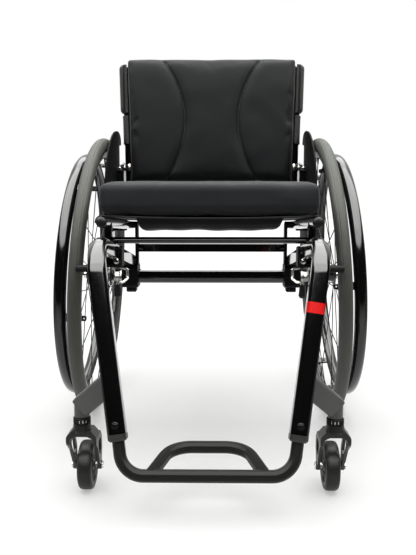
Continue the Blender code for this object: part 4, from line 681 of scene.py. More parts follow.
def buildWheels():
    tyre, rim, hub = tyreMesh(), rimMesh(), hubMesh()
    spokes, nipples = spokeMeshes()
    for name, side in sides.items():
        valve = valveMesh(math.radians(wheelSize["valveAt"][name]))
        for label, mesh, finish, node in (
                ("tyre_", tyre, "tyreRubber", "wheel_tyre_"), ("rim_", rim, "rimBlack", "wheel_rim_"),
                ("pushrim_", handrimMesh(name), "handrimGloss", "handrim_"),
                ("hubShell_", hub, "rimBlack", "wheel_hub_"), ("spokes_", spokes, "spokeBlack", None),
                ("nipples_", nipples, "spokeBlack", None), ("valve_", valve, "boltBlack", None)):
            mesh = mesh.copy()
            mesh.transform(wheelPlace(side))
            addPiece(label + name, mesh, finish, "wheel_" + name, [node + name] if node else [])


buildWheels()
print("wheels ready")

# side tubes and footrest
tubeSize = {"width": 0.0275, "depth": 0.0300, "chamfer": 0.0042, "bend": 0.055, "ease": 0.0075,
            "foot": Vector((0.1344, -0.5192 + axleY, 0.1225)),
            "knee": Vector((0.1771, -0.4385 + axleY, 0.3980)),
            "rear": Vector((0.1800, 0.0450 + axleY, 0.3175)),
            "bandAt": 0.1805, "bandTall": 0.0168, "boltAt": 0.0125}
footSize = {"tube": 0.0178, "chamfer": 0.0045, "height": 0.0653, "front": -0.5380 + axleY, "bend": 0.036,
            "archFoot": 0.0852, "archTop": 0.0585, "archBack": -0.4480 + axleY, "archRise": 0.0093,
            "archBend": 0.044, "inTube": 0.055, "belowTube": 0.0145, "upperBend": 0.030}
frontRun = (tubeSize["knee"] - tubeSize["foot"]).normalized()
rearRun = (tubeSize["rear"] - tubeSize["knee"]).normalized()


def tubePoint(distance):  # a place on the front tube's axis, measured up from its foot
    return tubeSize["foot"] + frontRun * distance


def kneeSection(share):  # past the bend the outer upper corner is cut back further
    a, b, c = tubeSize["width"] / 2, tubeSize["depth"] / 2, tubeSize["chamfer"]
    wide = c + tubeSize["ease"] * share
    corners = [(a, b - c), (a - c, b), (c - a, b), (-a, b - c),
               (-a, c - b), (c - a, -b), (a - wide, -b), (a, wide * 0.8 - b)]
    return rounded(corners, 0.0022, 2)


def sideTubeMesh():
    path = fillet([tubeSize["foot"], tubeSize["knee"], tubeSize["rear"]], tubeSize["bend"], 32)
    path[-1:] = [path[-2] + rearRun * 0.04, path[-2] + rearRun * 0.09, path[-1]]
    shares = [min(1.0, max(0.0, (k - 3) / 20)) for k in range(len(path))]
    shares[-3:] = [0.5, 0.0, 0.0]
    return swept(path, [kneeSection(share) for share in shares], (1, 0, 0))


def footBoltMesh():
    across = Vector((1, 0, 0)) - frontRun.x * frontRun
    normal = frontRun.cross(across.normalized())
    normal = normal if normal.y < 0 else -normal
    face = tubePoint(tubeSize["boltAt"]) + normal * (tubeSize["depth"] / 2 - 0.0004)
    washer = turned([(0, 0), (0, 0.0052), (0.0010, 0.0052), (0.0016, 0.0046), (0.0016, 0.0030)], 40)
    return joined(along(washer, face, face + normal),
                  along(boltHead(0.0031, 0.0020, 0.55), face + normal * 0.0014, face + normal))


def buildSideTubes():
    width, depth, chamfer = tubeSize["width"], tubeSize["depth"], tubeSize["chamfer"]
    back = tubeSize["rear"] - rearRun * 0.0006
    plug = swept([back, back + rearRun * 0.0016, back + rearRun * 0.0026],
                 octagon(width - 0.0006, depth - 0.0006, 0.0046), (1, 0, 0), [1.0, 1.0, 0.86])
    bandPath = [tubePoint(tubeSize["bandAt"] + tubeSize["bandTall"] * k / 2) for k in range(3)]
    band = swept(bandPath, octagon(width + 0.0005, depth + 0.0005, chamfer), (1, 0, 0))
    for label, mesh, finish, nodes in (("sideTube_", sideTubeMesh(), "frameBlack", ["side_frame_"]),
                                       ("tubePlug_", plug, "mouldedBlack", []),
                                       ("footBolt_", footBoltMesh(), "footSteel", [])):
        addPiece(label + "left", mirrored(mesh), finish, "chair", [node + "left" for node in nodes])
        addPiece(label + "right", mesh, finish, "chair", [node + "right" for node in nodes])
    addPiece("colourBand", band, "redBand", "chair")


def acrossX(points):  # the same points on the other side
    return [Vector((-p.x, p.y, p.z)) for p in reversed(points)]


def buildFootrest():
    section = octagon(footSize["tube"], footSize["tube"], footSize["chamfer"], 0.00168)
    drop = (tubeSize["foot"].z - footSize["height"]) / frontRun.z
    corner = tubeSize["foot"] - frontRun * drop
    corner.y = footSize["front"]
    half = [tubePoint(footSize["inTube"]), tubePoint(-footSize["belowTube"]), corner]
    bends = [0, footSize["upperBend"], footSize["bend"]]
    bar = swept(fillet(half + acrossX(half), bends + bends[::-1], 20), section, (0.0, -1.0, 0.1))
    half = [Vector((footSize["archFoot"], footSize["front"], footSize["height"])),
            Vector((footSize["archTop"], footSize["archBack"], footSize["height"] + footSize["archRise"]))]
    arch = swept(fillet(half + acrossX(half), footSize["archBend"], 18), section,
                 (0.0, -footSize["archRise"], 1.0))
    addPiece("footTube", joined(bar, arch), "footBlack", "chair", ["footrest_frame"])


buildSideTubes()
buildFootrest()

# rails, their cross bar and the axle tube
railSize = {"x": 0.1855, "radius": 0.0095, "front": -0.3220, "rear": 0.0800, "height": 0.4275,
            "heightAt": -0.3450, "dump": math.radians(3.8), "postX": 0.1825, "postY": -0.270}
axleTubeSize = {"half": 0.1960, "radius": 0.01425, "wall": 0.002,
                "height": wheelSize["hubHeight"] - 0.078 * math.tan(wheelSize["camber"])}


def railHeight(y):
    return railSize["height"] - math.tan(railSize["dump"]) * (y - railSize["heightAt"])


def railPoint(y):
    return Vector((railSize["x"], y + axleY, railHeight(y)))


def buildRails():
    start, end = railPoint(railSize["front"]), railPoint(railSize["rear"])
    x, y, high = railSize["postX"], railSize["postY"] + axleY, railHeight(railSize["postY"])
    low = (tubeSize["knee"] + rearRun * ((y - tubeSize["knee"].y) / rearRun.y)).z
    top = low + tubeSize["depth"] / 2
    half = [rod(start, end, railSize["radius"], 40, 0.0006), rod((x, y, low), (x, y, high), 0.0075, 32)]
    for level, size in ((top + 0.0004, 0.0092), (high - railSize["radius"] * 0.86, 0.0088)):
        bead = turned([(-0.0018, 0.0070), (-0.0010, size), (0.0010, size), (0.0018, 0.0070)], 32)
        half.append(along(bead, (x, y, level), (x, y, level + 1)))
    bar = swept([(-x, y, top + 0.0063), (x, y, top + 0.0063)], oval(0.0180, 0.0120, 40), (0, 1, 0))
    addPiece("seatRails", joined(onBothSides(*half), bar), "frameBlack", "chair", ["seat_frame"])
    run = (end - start).normalized()
    plugs = onBothSides(along(endPlug(railSize["radius"]), start, start - run),
                        along(endPlug(railSize["radius"]), end, end + run))
    addPiece("railPlugs", plugs, "mouldedBlack", "chair")


def buildAxleTube():
    half, radius, wall = axleTubeSize["half"], axleTubeSize["radius"], axleTubeSize["wall"]
    side = [(half, radius - wall), (half, radius - 0.0005), (half - 0.0005, radius)]
    tube = moved(turned(bothEnds(side), 72, ring=True), (0, axleY, axleTubeSize["height"]))
    addPiece("axleTube", tube, "frameBlack", "chair", ["axle_tube"])


buildRails()
buildAxleTube()

# castors
castorSize = {"radius": 0.0393, "width": 0.023, "x": 0.1962, "y": -0.4720 + axleY, "trail": 0.0375,
              "core": 0.0253, "ribs": 5}
ringSize = {"height": 0.1225, "radius": 0.0134, "tall": 0.0097, "bore": 0.0063, "slots": 14,
            "slotDeep": 0.0022, "sleeve": 0.0119, "sleeveLow": 0.0024, "sleeveHigh": 0.0073,
            "sleeveThick": 0.001}


def castorTyreMesh():
    half, outer, inner = castorSize["width"] / 2, castorSize["radius"], castorSize["core"] + 0.0003
    side = [(half * 0.72, inner), (half * 0.94, inner + 0.0016), (half, inner + 0.0050),
            (half * 0.99, outer - 0.0052), (half * 0.92, outer - 0.0028), (half * 0.78, outer - 0.0012),
            (half * 0.58, outer - 0.0004), (half * 0.30, outer)]
    return turned(bothEnds(side), 96, ring=True)


def castorCoreMesh():  # dished disc with ribs and a hub
    half, core = castorSize["width"] / 2, castorSize["core"]
    side = [(0.0098, 0.0043), (0.0098, 0.0078), (0.0090, 0.0085), (0.0050, 0.0098), (0.0038, 0.0112),
            (0.0038, 0.0192), (0.0048, 0.0206), (half * 0.66, core - 0.0014), (half * 0.72, core)]
    parts = [turned(bothEnds(side), 72, ring=True)]
    for k in range(castorSize["ribs"]):
        rib = rod((0, 0, 0.0100), (0, 0, 0.0215), 0.0022, 12)
        turn = Matrix.Rotation(2 * math.pi * k / castorSize["ribs"], 4, "X")
        rib.transform(turn @ Matrix.Diagonal((2.6, 1.0, 1.0, 1.0)))
        parts.append(rib)
    return joined(*parts)


def lockRingMesh():  # knurled lock ring: slots all round its middle, a plain lip above and below
    tall, outer, inner = ringSize["tall"], ringSize["radius"], ringSize["bore"]
    steps = ringSize["slots"] * 8
    lip = [(0.0, outer - 0.0006), (0.0006, outer), (0.0022, outer), (0.0026, None)]
    levels = lip + [(tall - z, r) for z, r in reversed(lip)] + [(tall, inner), (0.0, inner)]
    rings = []
    for z, radius in levels:
        radii = [radius or outer - (ringSize["slotDeep"] if k % 8 < 3 else 0.0) for k in range(steps)]
        turns = [2 * math.pi * k / steps for k in range(steps)]
        rings.append([(r * math.cos(a), r * math.sin(a), z) for r, a in zip(radii, turns)])
    return lofted(rings, caps=False, loop=True)


def sleeveMesh():  # the bright sleeve that shows through the slots
    low, high, outer = ringSize["sleeveLow"], ringSize["sleeveHigh"], ringSize["sleeve"]
    inner = outer - ringSize["sleeveThick"]
    band = turned([(low, inner), (low, outer), (high, outer), (high, inner)], 64, ring=True)
    return along(band, (0, 0, 0), (0, 0, 1))


def axleBoltMesh():
    side = [(0.0240, 0), (0.0240, 0.0024), (0.0254, 0.0026), (0.0254, 0.0048), (0.0246, 0.0058),
            (0.0232, 0.0058), (0.0232, 0.0040), (0.0157, 0.0040), (0.0157, 0.0056), (0.0101, 0.0056),
            (0.0101, 0.0040)]
    return turned(bothEnds(side), 40)


def buildCastors():
    for label, mesh, finish, body, node in (
            ("castorTyre_", castorTyreMesh(), "castorRubber", "castor_", "castor_tyre_"),
            ("castorCore_", castorCoreMesh(), "mouldedGrey", "castor_", "castor_core_"),
            ("castorBolt_", axleBoltMesh(), "boltSteel", "fork_", "castor_axle_"),
            ("lockRing_", lockRingMesh(), "brakeBlack", "chair", "castor_head_ring_"),
            ("ringSleeve_", sleeveMesh(), "boltSteel", "chair", None)):
        for name, side in sides.items():
            onHead = body == "chair"
            place = (side * castorSize["x"], castorSize["y"] + (0.0 if onHead else castorSize["trail"]),
                     ringSize["height"] if onHead else castorSize["radius"])
            addPiece(label + name, moved(mesh.copy(), place), finish, body if onHead else body + name,
                     [node + name] if node else [])


buildCastors()
print("chassis ready")

# soft goods
backSize = {"pivot": Vector((0.0, 0.0750 + axleY, 0.5290)), "recline": math.radians(8.0), "splay": 0.035,
            "caneX": 0.1855, "caneRadius": 0.0095, "below": 0.0480, "above": 0.2250, "stay": 0.0300,
            "stayRadius": 0.0070}
coverSize = {"clear": 0.0006, "thin": 0.0017, "sleeves": [(0.0530, 0.1170), (0.1230, 0.2320)],
             "turn": 98, "tail": 0.024, "edge": 0.0004, "sheetIn": 0.004, "sheetLow": 0.002,
             "sag": 0.0016, "ripple": 0.0003, "hemThick": 0.0004, "hemTall": 0.0036, "hemIn": 0.0012,
             "hemTurn": 96, "cuffClear": 0.0009, "cuffIn": 0.0006, "cuffThick": 0.0062, "cuffEnd": 0.0020,
             "cuffRound": 0.0060, "cuffTurn": (-64, 98), "cuffTail": 0.026}
padSize = {"half": 0.1795, "low": -0.0400, "high": 0.2405, "rear": -0.0130, "thick": 0.0390, "drop": 0.0045,
           "hollow": 0.0045, "round": 0.0130, "rearRound": 0.0060, "waist": 0.0575, "waistAt": 0.49,
           "bow": 0.185, "seamDeep": 0.0046, "seamWide": 0.0024, "pullDeep": 0.0026, "pullWide": 0.0120,
           "thread": (0.0021, 0.0013), "topFall": (0.0100, 0.25, 2.4), "lowFall": (0.0075, 0.1, 2),
           "edgeDeep": 0.0010, "edgeIn": 0.0045, "edgeWide": 0.0018, "crease": (22.0, 0.0009, 3.0)}
seatSize = {"front": -0.3260, "rear": 0.0300, "half": 0.1865, "thick": 0.0595, "crown": 0.0025,
            "round": 0.0100, "lowRound": 0.0085, "sag": 0.0040, "sheet": 0.0018, "clear": 0.0006,
            "seamAt": 0.0105, "seamDeep": 0.0011, "seamWide": 0.0016, "crease": (16.0, 0.0011, 8.0),
            "sheetIn": 0.0045, "hem": (0.0026, 0.0030), "stitch": (0.0007, 0.0006),
            "stitchesAt": (0.0085, 0.0130), "stitchEnd": 18}
pouchSize = {"half": 0.1300, "deep": 0.0212, "front": -0.2880, "halfLong": 0.0700, "round": 0.016,
             "thin": 0.0016, "lip": 0.0005}
backPlace = Matrix.Translation(backSize["pivot"]) @ Matrix.Rotation(-backSize["recline"], 4, "X")
cushionSharp = 80  # degrees: a cushion shades smoothly over any fold flatter than this
pouchSharp = 60


def onBack(mesh):
    mesh.transform(backPlace)
    return mesh


def caneX(height):
    return backSize["caneX"] + backSize["splay"] * height


def seamX(share):
    return padSize["waist"] + padSize["bow"] * (share - padSize["waistAt"]) ** 2


def unit(value):
    return min(1.0, max(0.0, value))


def bell(distance, width):
    return math.exp(-(distance / width) ** 2)


def fall(lean, deep, start, power):  # a face that falls away past a share of its half height
    return deep * max(0.0, (lean - start) / (1 - start)) ** power


def edgeDrop(distance, radius):
    if distance >= radius:
        return 0.0
    return radius - math.sqrt(max(0.0, radius ** 2 - (radius - distance) ** 2))


def clustered(half, count, share=0.045):  # grid lines that crowd together at both ends
    inner = [half * (1 - share) * (2 * k / count - 1) for k in range(count + 1)]
    return [-half, -half * (1 - share * 0.35), *inner, half * (1 - share * 0.35), half]


def pillow(columns, rows, front, back):  # closed body between two height fields over an (x, z) grid
    bm = bmesh.new()
    a, b = [[[bm.verts.new((x, height(x, z), z)) for x in columns] for z in rows]
            for height in (front, back)]
    nr, nc = len(rows), len(columns)
    for grid in (a, b):
        for r in range(nr - 1):
            for c in range(nc - 1):
                bm.faces.new((grid[r][c], grid[r][c + 1], grid[r + 1][c + 1], grid[r + 1][c]))
    edge = [(r, 0) for r in range(nr)] + [(nr - 1, c) for c in range(1, nc)]
    edge += [(r, nc - 1) for r in range(nr - 2, -1, -1)] + [(0, c) for c in range(nc - 2, 0, -1)]
    for (r, c), (s, d) in zip(edge, edge[1:] + edge[:1]):
        bm.faces.new((a[r][c], a[s][d], b[s][d], b[r][c]))
    return toMesh(bm)


def baked(obj):
    depsgraph = bpy.context.evaluated_depsgraph_get()
    mesh = bpy.data.meshes.new_from_object(obj.evaluated_get(depsgraph))
    bpy.data.objects.remove(obj)
    return mesh


def withModifier(mesh, kind, **values):
    obj = placed("bench", mesh)
    modifier = obj.modifiers.new("bench", kind)
    for key, value in values.items():
        setattr(modifier, key, value)
    return baked(obj)


clothSettings = {"quality": 6, "mass": 0.3, "tension_stiffness": 18.0, "compression_stiffness": 18.0,
                 "bending_stiffness": 1.2, "use_pressure": True, "uniform_pressure_force": 4.0}
clothFrames = 20


def inflated(mesh, voxel, cap):  # even quads, then a short pressure run, capped
    mesh = withModifier(mesh, "REMESH", mode="VOXEL", voxel_size=voxel, use_smooth_shade=True)
    start = [v.co.copy() for v in mesh.vertices]
    obj = placed("bench", mesh)
    cloth = obj.modifiers.new("cloth", "CLOTH")
    for key, value in clothSettings.items():
        setattr(cloth.settings, key, value)
    cloth.settings.effector_weights.gravity = 0.0
    cloth.collision_settings.use_collision = False
    cloth.point_cache.frame_start, cloth.point_cache.frame_end = 1, clothFrames
    for step in range(1, clothFrames + 1):
        bpy.context.scene.frame_set(step)
    mesh = baked(obj)
    bpy.context.scene.frame_set(1)
    drift = sum((v.co - s for v, s in zip(mesh.vertices, start)), Vector()) / len(start)
    for vert, was in zip(mesh.vertices, start):
        shift = vert.co - was - drift
        if shift.length > cap:
            shift *= cap / shift.length
        vert.co = was + shift
    return withModifier(mesh, "SUBSURF", levels=1, render_levels=1)


def fitted(mesh, half, tall, near, far):  # a blown mesh brought back to its full width, height and depth
    wide = max(abs(v.co.x) for v in mesh.vertices)
    high = max(abs(v.co.z) for v in mesh.vertices)
    first = min(v.co.y for v in mesh.vertices)
    last = max(v.co.y for v in mesh.vertices)
    for vert in mesh.vertices:
        vert.co.x *= half / wide
        vert.co.z *= tall / high
        vert.co.y = near + (vert.co.y - first) * (far - near) / (last - first)
    return mesh


def creased(mesh, scale, depth, seed):  # the small unevenness of cloth over foam
    shift = Vector((seed, seed * 0.7, seed * 1.3))
    normals = [v.normal.copy() for v in mesh.vertices]
    for vert, normal in zip(mesh.vertices, normals):
        vert.co += normal * depth * noise.noise(vert.co * scale + shift)
    return mesh


def buildBackCushion():
    half = padSize["half"] - 0.0035
    low, high = padSize["low"] + 0.0030, padSize["high"] - 0.0030
    middle, tall = (low + high) / 2, (high - low) / 2
    rear, face = padSize["rear"], padSize["rear"] - padSize["thick"]

    def near(x, z):
        return min(half - abs(x), tall - abs(z))

    def front(x, z):
        hollow = padSize["hollow"] * (1 - (x / half) ** 2)
        fallen = fall(z / tall, *padSize["topFall"]) + fall(-z / tall, *padSize["lowFall"])
        return face + 0.0030 + edgeDrop(near(x, z), padSize["round"]) + hollow + fallen

    def back(x, z):
        return rear - edgeDrop(near(x, z), padSize["rearRound"])

    mesh = inflated(pillow(clustered(half, 60), clustered(tall, 48), front, back), 0.0048, 0.0060)
    mesh = fitted(mesh, half + 0.0030, tall + 0.0028, face + 0.0006, rear)
    for vert in mesh.vertices:
        part = unit((vert.co.z + tall) / (2 * tall))
        facing = unit((rear - 0.012 - vert.co.y) / 0.015)
        away = abs(abs(vert.co.x) - seamX(part))
        rim = half - padSize["edgeIn"] - abs(vert.co.x)
        vert.co.y += padSize["seamDeep"] * facing * bell(away, padSize["seamWide"])
        vert.co.y += padSize["pullDeep"] * facing * bell(away, padSize["pullWide"])
        vert.co.y += padSize["edgeDeep"] * facing * bell(rim, padSize["edgeWide"])
        vert.co.y = min(vert.co.y, rear + 0.0004)
        vert.co.z += middle - padSize["drop"] * part ** 3 * (vert.co.x / half) ** 6
        vert.co.x += backSize["splay"] * vert.co.z * vert.co.x / half
    mesh = onBack(creased(mesh, *padSize["crease"]))
    cushion = addPiece("backCushion", mesh, "padCloth", "back", ["back_cushion"], cushionSharp)
    return cushion


def buildBackSeams(cushion):  # thread lying in each bowed channel
    tall = (padSize["high"] - padSize["low"]) / 2 - 0.0030
    middle = (padSize["high"] + padSize["low"]) / 2
    lines = []
    for side in (1, -1):
        path = []
        for k in range(61):
            part = 0.008 + 0.984 * k / 60
            z = middle - tall + 2 * tall * part
            x = side * seamX(part) * (1 + backSize["splay"] * z / padSize["half"])
            aim = backPlace @ Vector((x, -0.05, z))
            hit, place, normal, _ = cushion.ray_cast(Vector((aim.x, -1.0, aim.z)), Vector((0, 1, 0)))
            if hit and normal.y < -0.35:
                path.append(place - normal * 0.0002)
        lines.append(swept(path, oval(*padSize["thread"], 8), (1, 0, 0)))
    addPiece("backSeams", joined(*lines), "seamThread", "back")


def wrapOutline(inner, thick, start, end, steps, tail=None):  # a strip round one cane, angles in degrees
    radius = inner + thick / 2
    turns = [math.radians(start + (end - start) * k / steps) for k in range(steps + 1)]
    line = [Vector((backSize["caneX"] + radius * math.cos(a), radius * math.sin(a))) for a in turns]
    if tail:
        line.append(Vector((backSize["caneX"] - tail, radius)))
    outer, inside = [], []
    for i, point in enumerate(line):
        heading = (line[min(i + 1, len(line) - 1)] - line[max(i - 1, 0)]).normalized()
        normal = Vector((heading.y, -heading.x)) * thick / 2
        outer.append(tuple(point + normal))
        inside.append(tuple(point - normal))
    return outer + inside[::-1]


def splayed(mesh):
    for vert in mesh.vertices:
        lean = backSize["splay"] * vert.co.z * min(1.0, abs(vert.co.x) / (backSize["caneX"] - 0.0124))
        vert.co.x += math.copysign(lean, vert.co.x)
    return mesh


def cuffMesh():  # padded cuff of the upper cane: full in the middle, drawn in at both ends
    low, high = coverSize["sleeves"][1]
    low, high = low + coverSize["cuffIn"], high - coverSize["cuffIn"]
    inner, end = backSize["caneRadius"] + coverSize["cuffClear"], coverSize["cuffEnd"]
    levels, rings = 26, []
    for k in range(levels + 1):
        share = k / levels
        fullness = min(1.0, (min(share, 1 - share) * (high - low) / coverSize["cuffRound"])) ** 0.45
        thick = end + (coverSize["cuffThick"] - end) * fullness
        outline = wrapOutline(inner, thick, *coverSize["cuffTurn"], 20, coverSize["cuffTail"])
        rings.append([(x, y, low + (high - low) * share) for x, y in outline])
    return lofted(rings)


def backSheetMesh(half, low, high):
    inner, thin = backSize["caneRadius"] + coverSize["clear"], coverSize["thin"]
    columns, rows, grid = 60, 30, []
    for z in (low + (high - low) * r / rows for r in range(rows + 1)):
        line = []
        for x in (half * (2 * c / columns - 1) for c in range(columns + 1)):
            sag = coverSize["sag"] * (1 - (x / half) ** 2)
            ripple = coverSize["ripple"] * math.sin(9 * z / 0.1 + x * 30)
            line.append((x, sag + ripple - inner - thin / 2, z))
        grid.append(line)
    mesh = lofted(grid, wrap=False, caps=False)
    return splayed(withModifier(mesh, "SOLIDIFY", thickness=thin * 0.8, offset=0.0))


def buildBackCover():
    inner, thin = backSize["caneRadius"] + coverSize["clear"], coverSize["thin"]
    turn, hemTurn = coverSize["turn"], coverSize["hemTurn"]
    sleeves, hems = [], []
    for first, last in coverSize["sleeves"]:
        outline = wrapOutline(inner, thin, -turn, turn, 26, coverSize["tail"])
        sleeves.append(moved(plate(outline, last - first, edge=coverSize["edge"]), (0, 0, first)))
        hem = wrapOutline(inner + thin, coverSize["hemThick"], -hemTurn, hemTurn, 26)
        for level in (first + coverSize["hemIn"], last - coverSize["hemIn"] - coverSize["hemTall"]):
            hems.append(moved(plate(hem, coverSize["hemTall"]), (0, 0, level)))
    for name, meshes in (("backSleeves", sleeves), ("backCuffs", [cuffMesh()]), ("sleeveHems", hems)):
        made = addPiece(name, onBack(splayed(onBothSides(*meshes))), "cuffCloth", "back")
    half = backSize["caneX"] - coverSize["sheetIn"]
    low, high = padSize["low"] + coverSize["sheetLow"], coverSize["sleeves"][1][1] - 0.004
    sheet = onBack(backSheetMesh(half, low, high))
    made = addPiece("backSheet", sheet, "slingNylon", "back", ["back_sling"])


def buildSeatCushion():
    halfDepth, half = (seatSize["rear"] - seatSize["front"]) / 2 - 0.0025, seatSize["half"] - 0.0022
    base = railSize["radius"] + seatSize["sheet"] + 0.0010
    middle = (seatSize["front"] + seatSize["rear"]) / 2

    def near(x, z):
        return min(half - abs(x), halfDepth - abs(z))

    def top(x, z):
        swell = (1 - (x / half) ** 4) * (1 - (z / halfDepth) ** 4)
        return -(seatSize["thick"] - 0.0012 - edgeDrop(near(x, z), seatSize["round"])
                 + seatSize["crown"] * (swell - 1))

    def bottom(x, z):
        return -edgeDrop(near(x, z), seatSize["lowRound"])

    mesh = inflated(pillow(clustered(half, 60), clustered(halfDepth, 56), top, bottom), 0.0052, 0.0050)
    mesh = fitted(mesh, half + 0.0042, halfDepth + 0.0030, -0.0016 - seatSize["thick"], 0.0)
    mesh.transform(Matrix.Rotation(-math.pi / 2, 4, "X"))
    for vert in mesh.vertices:
        vert.co.z = max(vert.co.z, 0.0)
        pull = seatSize["seamDeep"] * bell(vert.co.z - seatSize["seamAt"], seatSize["seamWide"])
        besideX, besideY = abs(vert.co.x) / half > 0.97, abs(vert.co.y) / halfDepth > 0.97
        vert.co.x -= math.copysign(pull, vert.co.x) * besideX
        vert.co.y -= math.copysign(pull, vert.co.y) * besideY
    mesh = creased(mesh, *seatSize["crease"])
    mesh.transform(Matrix.Translation((0, middle + axleY, railHeight(middle) + base))
                   @ Matrix.Rotation(-railSize["dump"], 4, "X"))
    # the seat cushion wears the lighter, painted-light copy of the pad cloth
    cushion = addPiece("seatCushion", mesh, "seatClothPaintedLight", "chair", ["seat_cushion"], cushionSharp)


def slingLine(steps):  # the seat sheet's section: over the right rail, down in a shallow sag
    radius = railSize["radius"] + seatSize["clear"] + seatSize["sheet"] / 2
    half = [(railSize["x"] + radius * math.cos(a), radius * math.sin(a))
            for a in (math.radians(-8 + 98 * k / 14) for k in range(15))]
    for share in (1 - k / steps for k in range(1, steps + 1)):
        half.append((railSize["x"] * share, radius - seatSize["sag"] * (1 - share ** 2)))
    return half + [(-x, z) for x, z in reversed(half[:-1])]


def buildSeatSling():
    line, rows, grid = slingLine(24), 40, []
    front, rear = railSize["front"] + seatSize["sheetIn"], seatSize["rear"]
    for y in (front + (rear - front) * r / rows for r in range(rows + 1)):
        ripple = 0.0005 * math.exp(-(y - front) / 0.03)
        grid.append([(x, y + axleY, z + railHeight(y) + ripple * math.sin(x * 120)) for x, z in line])
    mesh = lofted(grid, wrap=False, caps=False)
    mesh = withModifier(mesh, "SOLIDIFY", thickness=seatSize["sheet"] * 0.8, offset=0.0)
    sling = addPiece("seatSheet", mesh, "slingNylon", "chair", ["seat_sling"])
    hem = [(x, front + axleY + 0.0004, z + railHeight(front)) for x, z in line]
    addPiece("seatHem", swept(hem, oval(*seatSize["hem"], 10), (0, 1, 0)), "slingNylon", "chair")
    between = line[seatSize["stitchEnd"]:-seatSize["stitchEnd"]]
    stitches = []
    for y in (front + behind for behind in seatSize["stitchesAt"]):
        path = [(x, y + axleY, z - seatSize["sheet"] * 0.55 + railHeight(y)) for x, z in between]
        stitches.append(swept(path, oval(*seatSize["stitch"], 6), (0, 1, 0)))
    addPiece("seatStitches", joined(*stitches), "seamThread", "chair")


def buildPouch():  # the shallow bag under the sheet, sagging and a little uneven along its bottom
    half, reach = pouchSize["half"], pouchSize["halfLong"]
    columns, steps, rings = 56, 22, []
    top = railSize["radius"] + seatSize["clear"] - seatSize["sag"] * 0.55
    for x in (half * (2 * c / columns - 1) for c in range(columns + 1)):
        ends = min(1.0, (half - abs(x)) / pouchSize["round"])
        deep = pouchSize["deep"] * (1 - (1 - ends) ** 2) ** 0.5
        deep += 0.0007 * math.sin(x * 95 + 0.6) + 0.0006 * math.sin(x * 41)
        deep = max(pouchSize["thin"], deep)
        ring = []
        for turn in (math.pi * k / steps for k in range(steps + 1)):
            bulge = math.copysign(abs(math.cos(turn)) ** 0.35, math.cos(turn))
            y = pouchSize["front"] + reach - (reach - pouchSize["lip"]) * bulge
            ring.append((x, y + axleY, top - deep * math.sin(turn) ** 0.45 + railHeight(y)))
        rings.append(ring)
    pouch = addPiece("underPouch", lofted(rings), "slingNylon", "chair", (), pouchSharp)


buildBackSeams(buildBackCushion())
buildBackCover()
buildSeatCushion()
buildSeatSling()
buildPouch()
print("soft goods ready")

# back frame, from outlines turned about the axis of each piece
stayBead = [(0, 0.0066), (0.0006, 0.0088), (0.0024, 0.0086), (0.0034, 0.0068)]
caneCollar = [(-0.0075, 0.0096), (-0.0075, 0.0102), (-0.0068, 0.0107), (0.0068, 0.0107), (0.0075, 0.0102),
              (0.0075, 0.0096)]
pivotBolt = [(0.1682, 0), (0.1682, 0.0030), (0.1690, 0.0052), (0.1712, 0.0066), (0.1748, 0.0066),
             (0.1748, 0.0040), (0.1956, 0.0040), (0.1956, 0.0078), (0.1962, 0.0078), (0.1962, 0.0040),
             (0.2018, 0.0040), (0.2018, 0.0074), (0.2027, 0.0074), (0.2027, 0.0062), (0.2045, 0.0058),
             (0.2051, 0.0044), (0.2051, 0.0024), (0.2033, 0.0022), (0.2033, 0)]


def buildBackFrame():
    foot, top = [Vector((caneX(z), 0, z)) for z in (-backSize["below"], backSize["above"])]
    stay, end = backSize["stay"], caneX(backSize["stay"])
    bead = along(turned(stayBead, 32), (end - 0.0086, 0, stay), (end - 0.02, 0, stay))
    frame = joined(onBothSides(rod(foot, top, backSize["caneRadius"], 40, 0.0006), bead),
                   rod((-end, 0, stay), (end, 0, stay), backSize["stayRadius"], 32))
    addPiece("canes", onBack(frame), "frameBlack", "back", ["back_frame"])
    collar = along(turned(caneCollar, 40, ring=True), (caneX(0.0), 0, 0), top)
    plug = along(endPlug(backSize["caneRadius"]), top, top + (top - foot))
    addPiece("caneCollars", onBack(onBothSides(collar)), "castAluminium", "back")
    addPiece("canePlugs", onBack(onBothSides(plug)), "mouldedBlack", "back")
    bolt = moved(turned(pivotBolt, 36), backSize["pivot"])
    for name, mesh in (("right", bolt), ("left", mirrored(bolt))):
        addPiece("pivotBolt_" + name, mesh, "boltSteel", "chair", ["back_pivot_bolt_" + name])


buildBackFrame()

# small fittings, drawn for the right side and mirrored
ahead, outward, inward = (0, -1, 0), (1, 0, 0), (-1, 0, 0)
blockSize = {  # corners in (x, z), their bend and its steps, the front face's y, thickness and eased edge
    "brakeBosses": ([(0.1588, 0.3490), (0.1725, 0.3490), (0.1735, 0.3600), (0.1600, 0.3612)],
                    0.0030, 4, -0.2862, 0.0090, 0.0010),
    "guardClips": ([(0.1964, 0.5218), (0.2082, 0.5218), (0.2082, 0.5300), (0.1990, 0.5335),
                    (0.1964, 0.5320)], 0.0018, 3, 0.0312, 0.0052, 0.0008),
    "guardWebs": ([(0.1953, 0.4560), (0.2084, 0.4560), (0.2084, 0.5222), (0.1953, 0.5222)],
                  0.0010, 2, 0.0335, 0.0040, 0.0005)}
steelScrews = [  # place, facing, head radius and height
    ((0.2030, 0.0312, 0.5268), ahead, 0.0026, 0.0018), ((0.2116, 0.0440, 0.5275), outward, 0.0036, 0.0022),
    ((0.1658, -0.2860, 0.3550), ahead, 0.0033, 0.0020)]
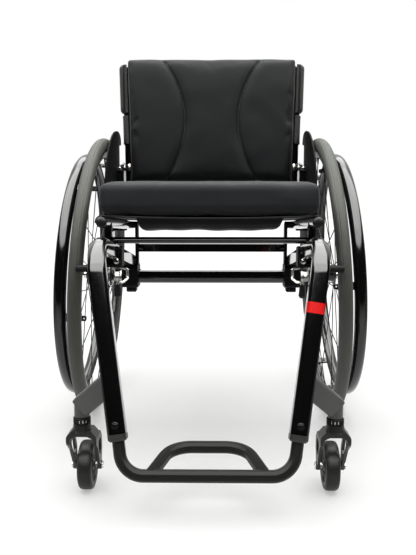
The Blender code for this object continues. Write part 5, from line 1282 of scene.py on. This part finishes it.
railScrews = [  # x, places along the rail, depth below its axis, head radius and height
    (0.2116, (-0.1050, 0.0150), 0.0070, 0.0030, 0.0018), (0.2016, (0.0450, 0.0660), 0.0, 0.0034, 0.0020)]
clampSize = {"lugIn": 0.1640, "lugOut": 0.1860, "lugLow": -0.0330, "lugHigh": -0.0200, "lugBend": 0.003,
             "lugFronts": (-0.0100, 0.0050), "lugThick": 0.0050, "lugEdge": 0.0007,
             "lugScrew": (0.1750, -0.0100, -0.0275), "lugHead": (0.0034, 0.0030), "screwX": 0.1591,
             "screwsAt": (0.0165, -0.0165), "screwHigh": 0.0110, "screwHead": (0.0030, 0.0022)}


def clampMeshes():  # the lugs under the axle tube, and the screws of its clamps
    height, near, far = axleTubeSize["height"], clampSize["lugIn"], clampSize["lugOut"]
    low, high = height + clampSize["lugLow"], height + clampSize["lugHigh"]
    lugs = [block([(near, low), (far, low), (far, high), (near, high)], clampSize["lugBend"], 3, y,
                  clampSize["lugThick"], clampSize["lugEdge"]) for y in clampSize["lugFronts"]]
    x, y, drop = clampSize["lugScrew"]
    lugs.append(screwIn((x, y, height + drop), ahead, *clampSize["lugHead"]))
    screws = [screwIn((clampSize["screwX"], y, height + clampSize["screwHigh"]), inward,
                      *clampSize["screwHead"]) for y in clampSize["screwsAt"]]
    return lugs, screws


def buildFittings():
    steel = [screwIn(*screw) for screw in steelScrews]
    for x, places, drop, radius, tall in railScrews:
        steel += [screwIn((x, y, railHeight(y) - drop), outward, radius, tall) for y in places]
    boss, clip, web = [block(*blockSize[name]) for name in ("brakeBosses", "guardClips", "guardWebs")]
    lugs, screws = clampMeshes()
    for name, meshes, finish in (("brakeBosses", [boss], "brakeBlack"),
                                 ("guardClips", [clip], "castAluminium"),
                                 ("guardWebs", [web], "guardBlack"), ("steelScrews", steel, "boltSteel"),
                                 ("clampLugs", lugs, "boltBlack"), ("clampScrews", screws, "boltBlack")):
        addPiece(name, onBothSides(*meshes), finish, "chair")


buildFittings()
print("fittings ready")
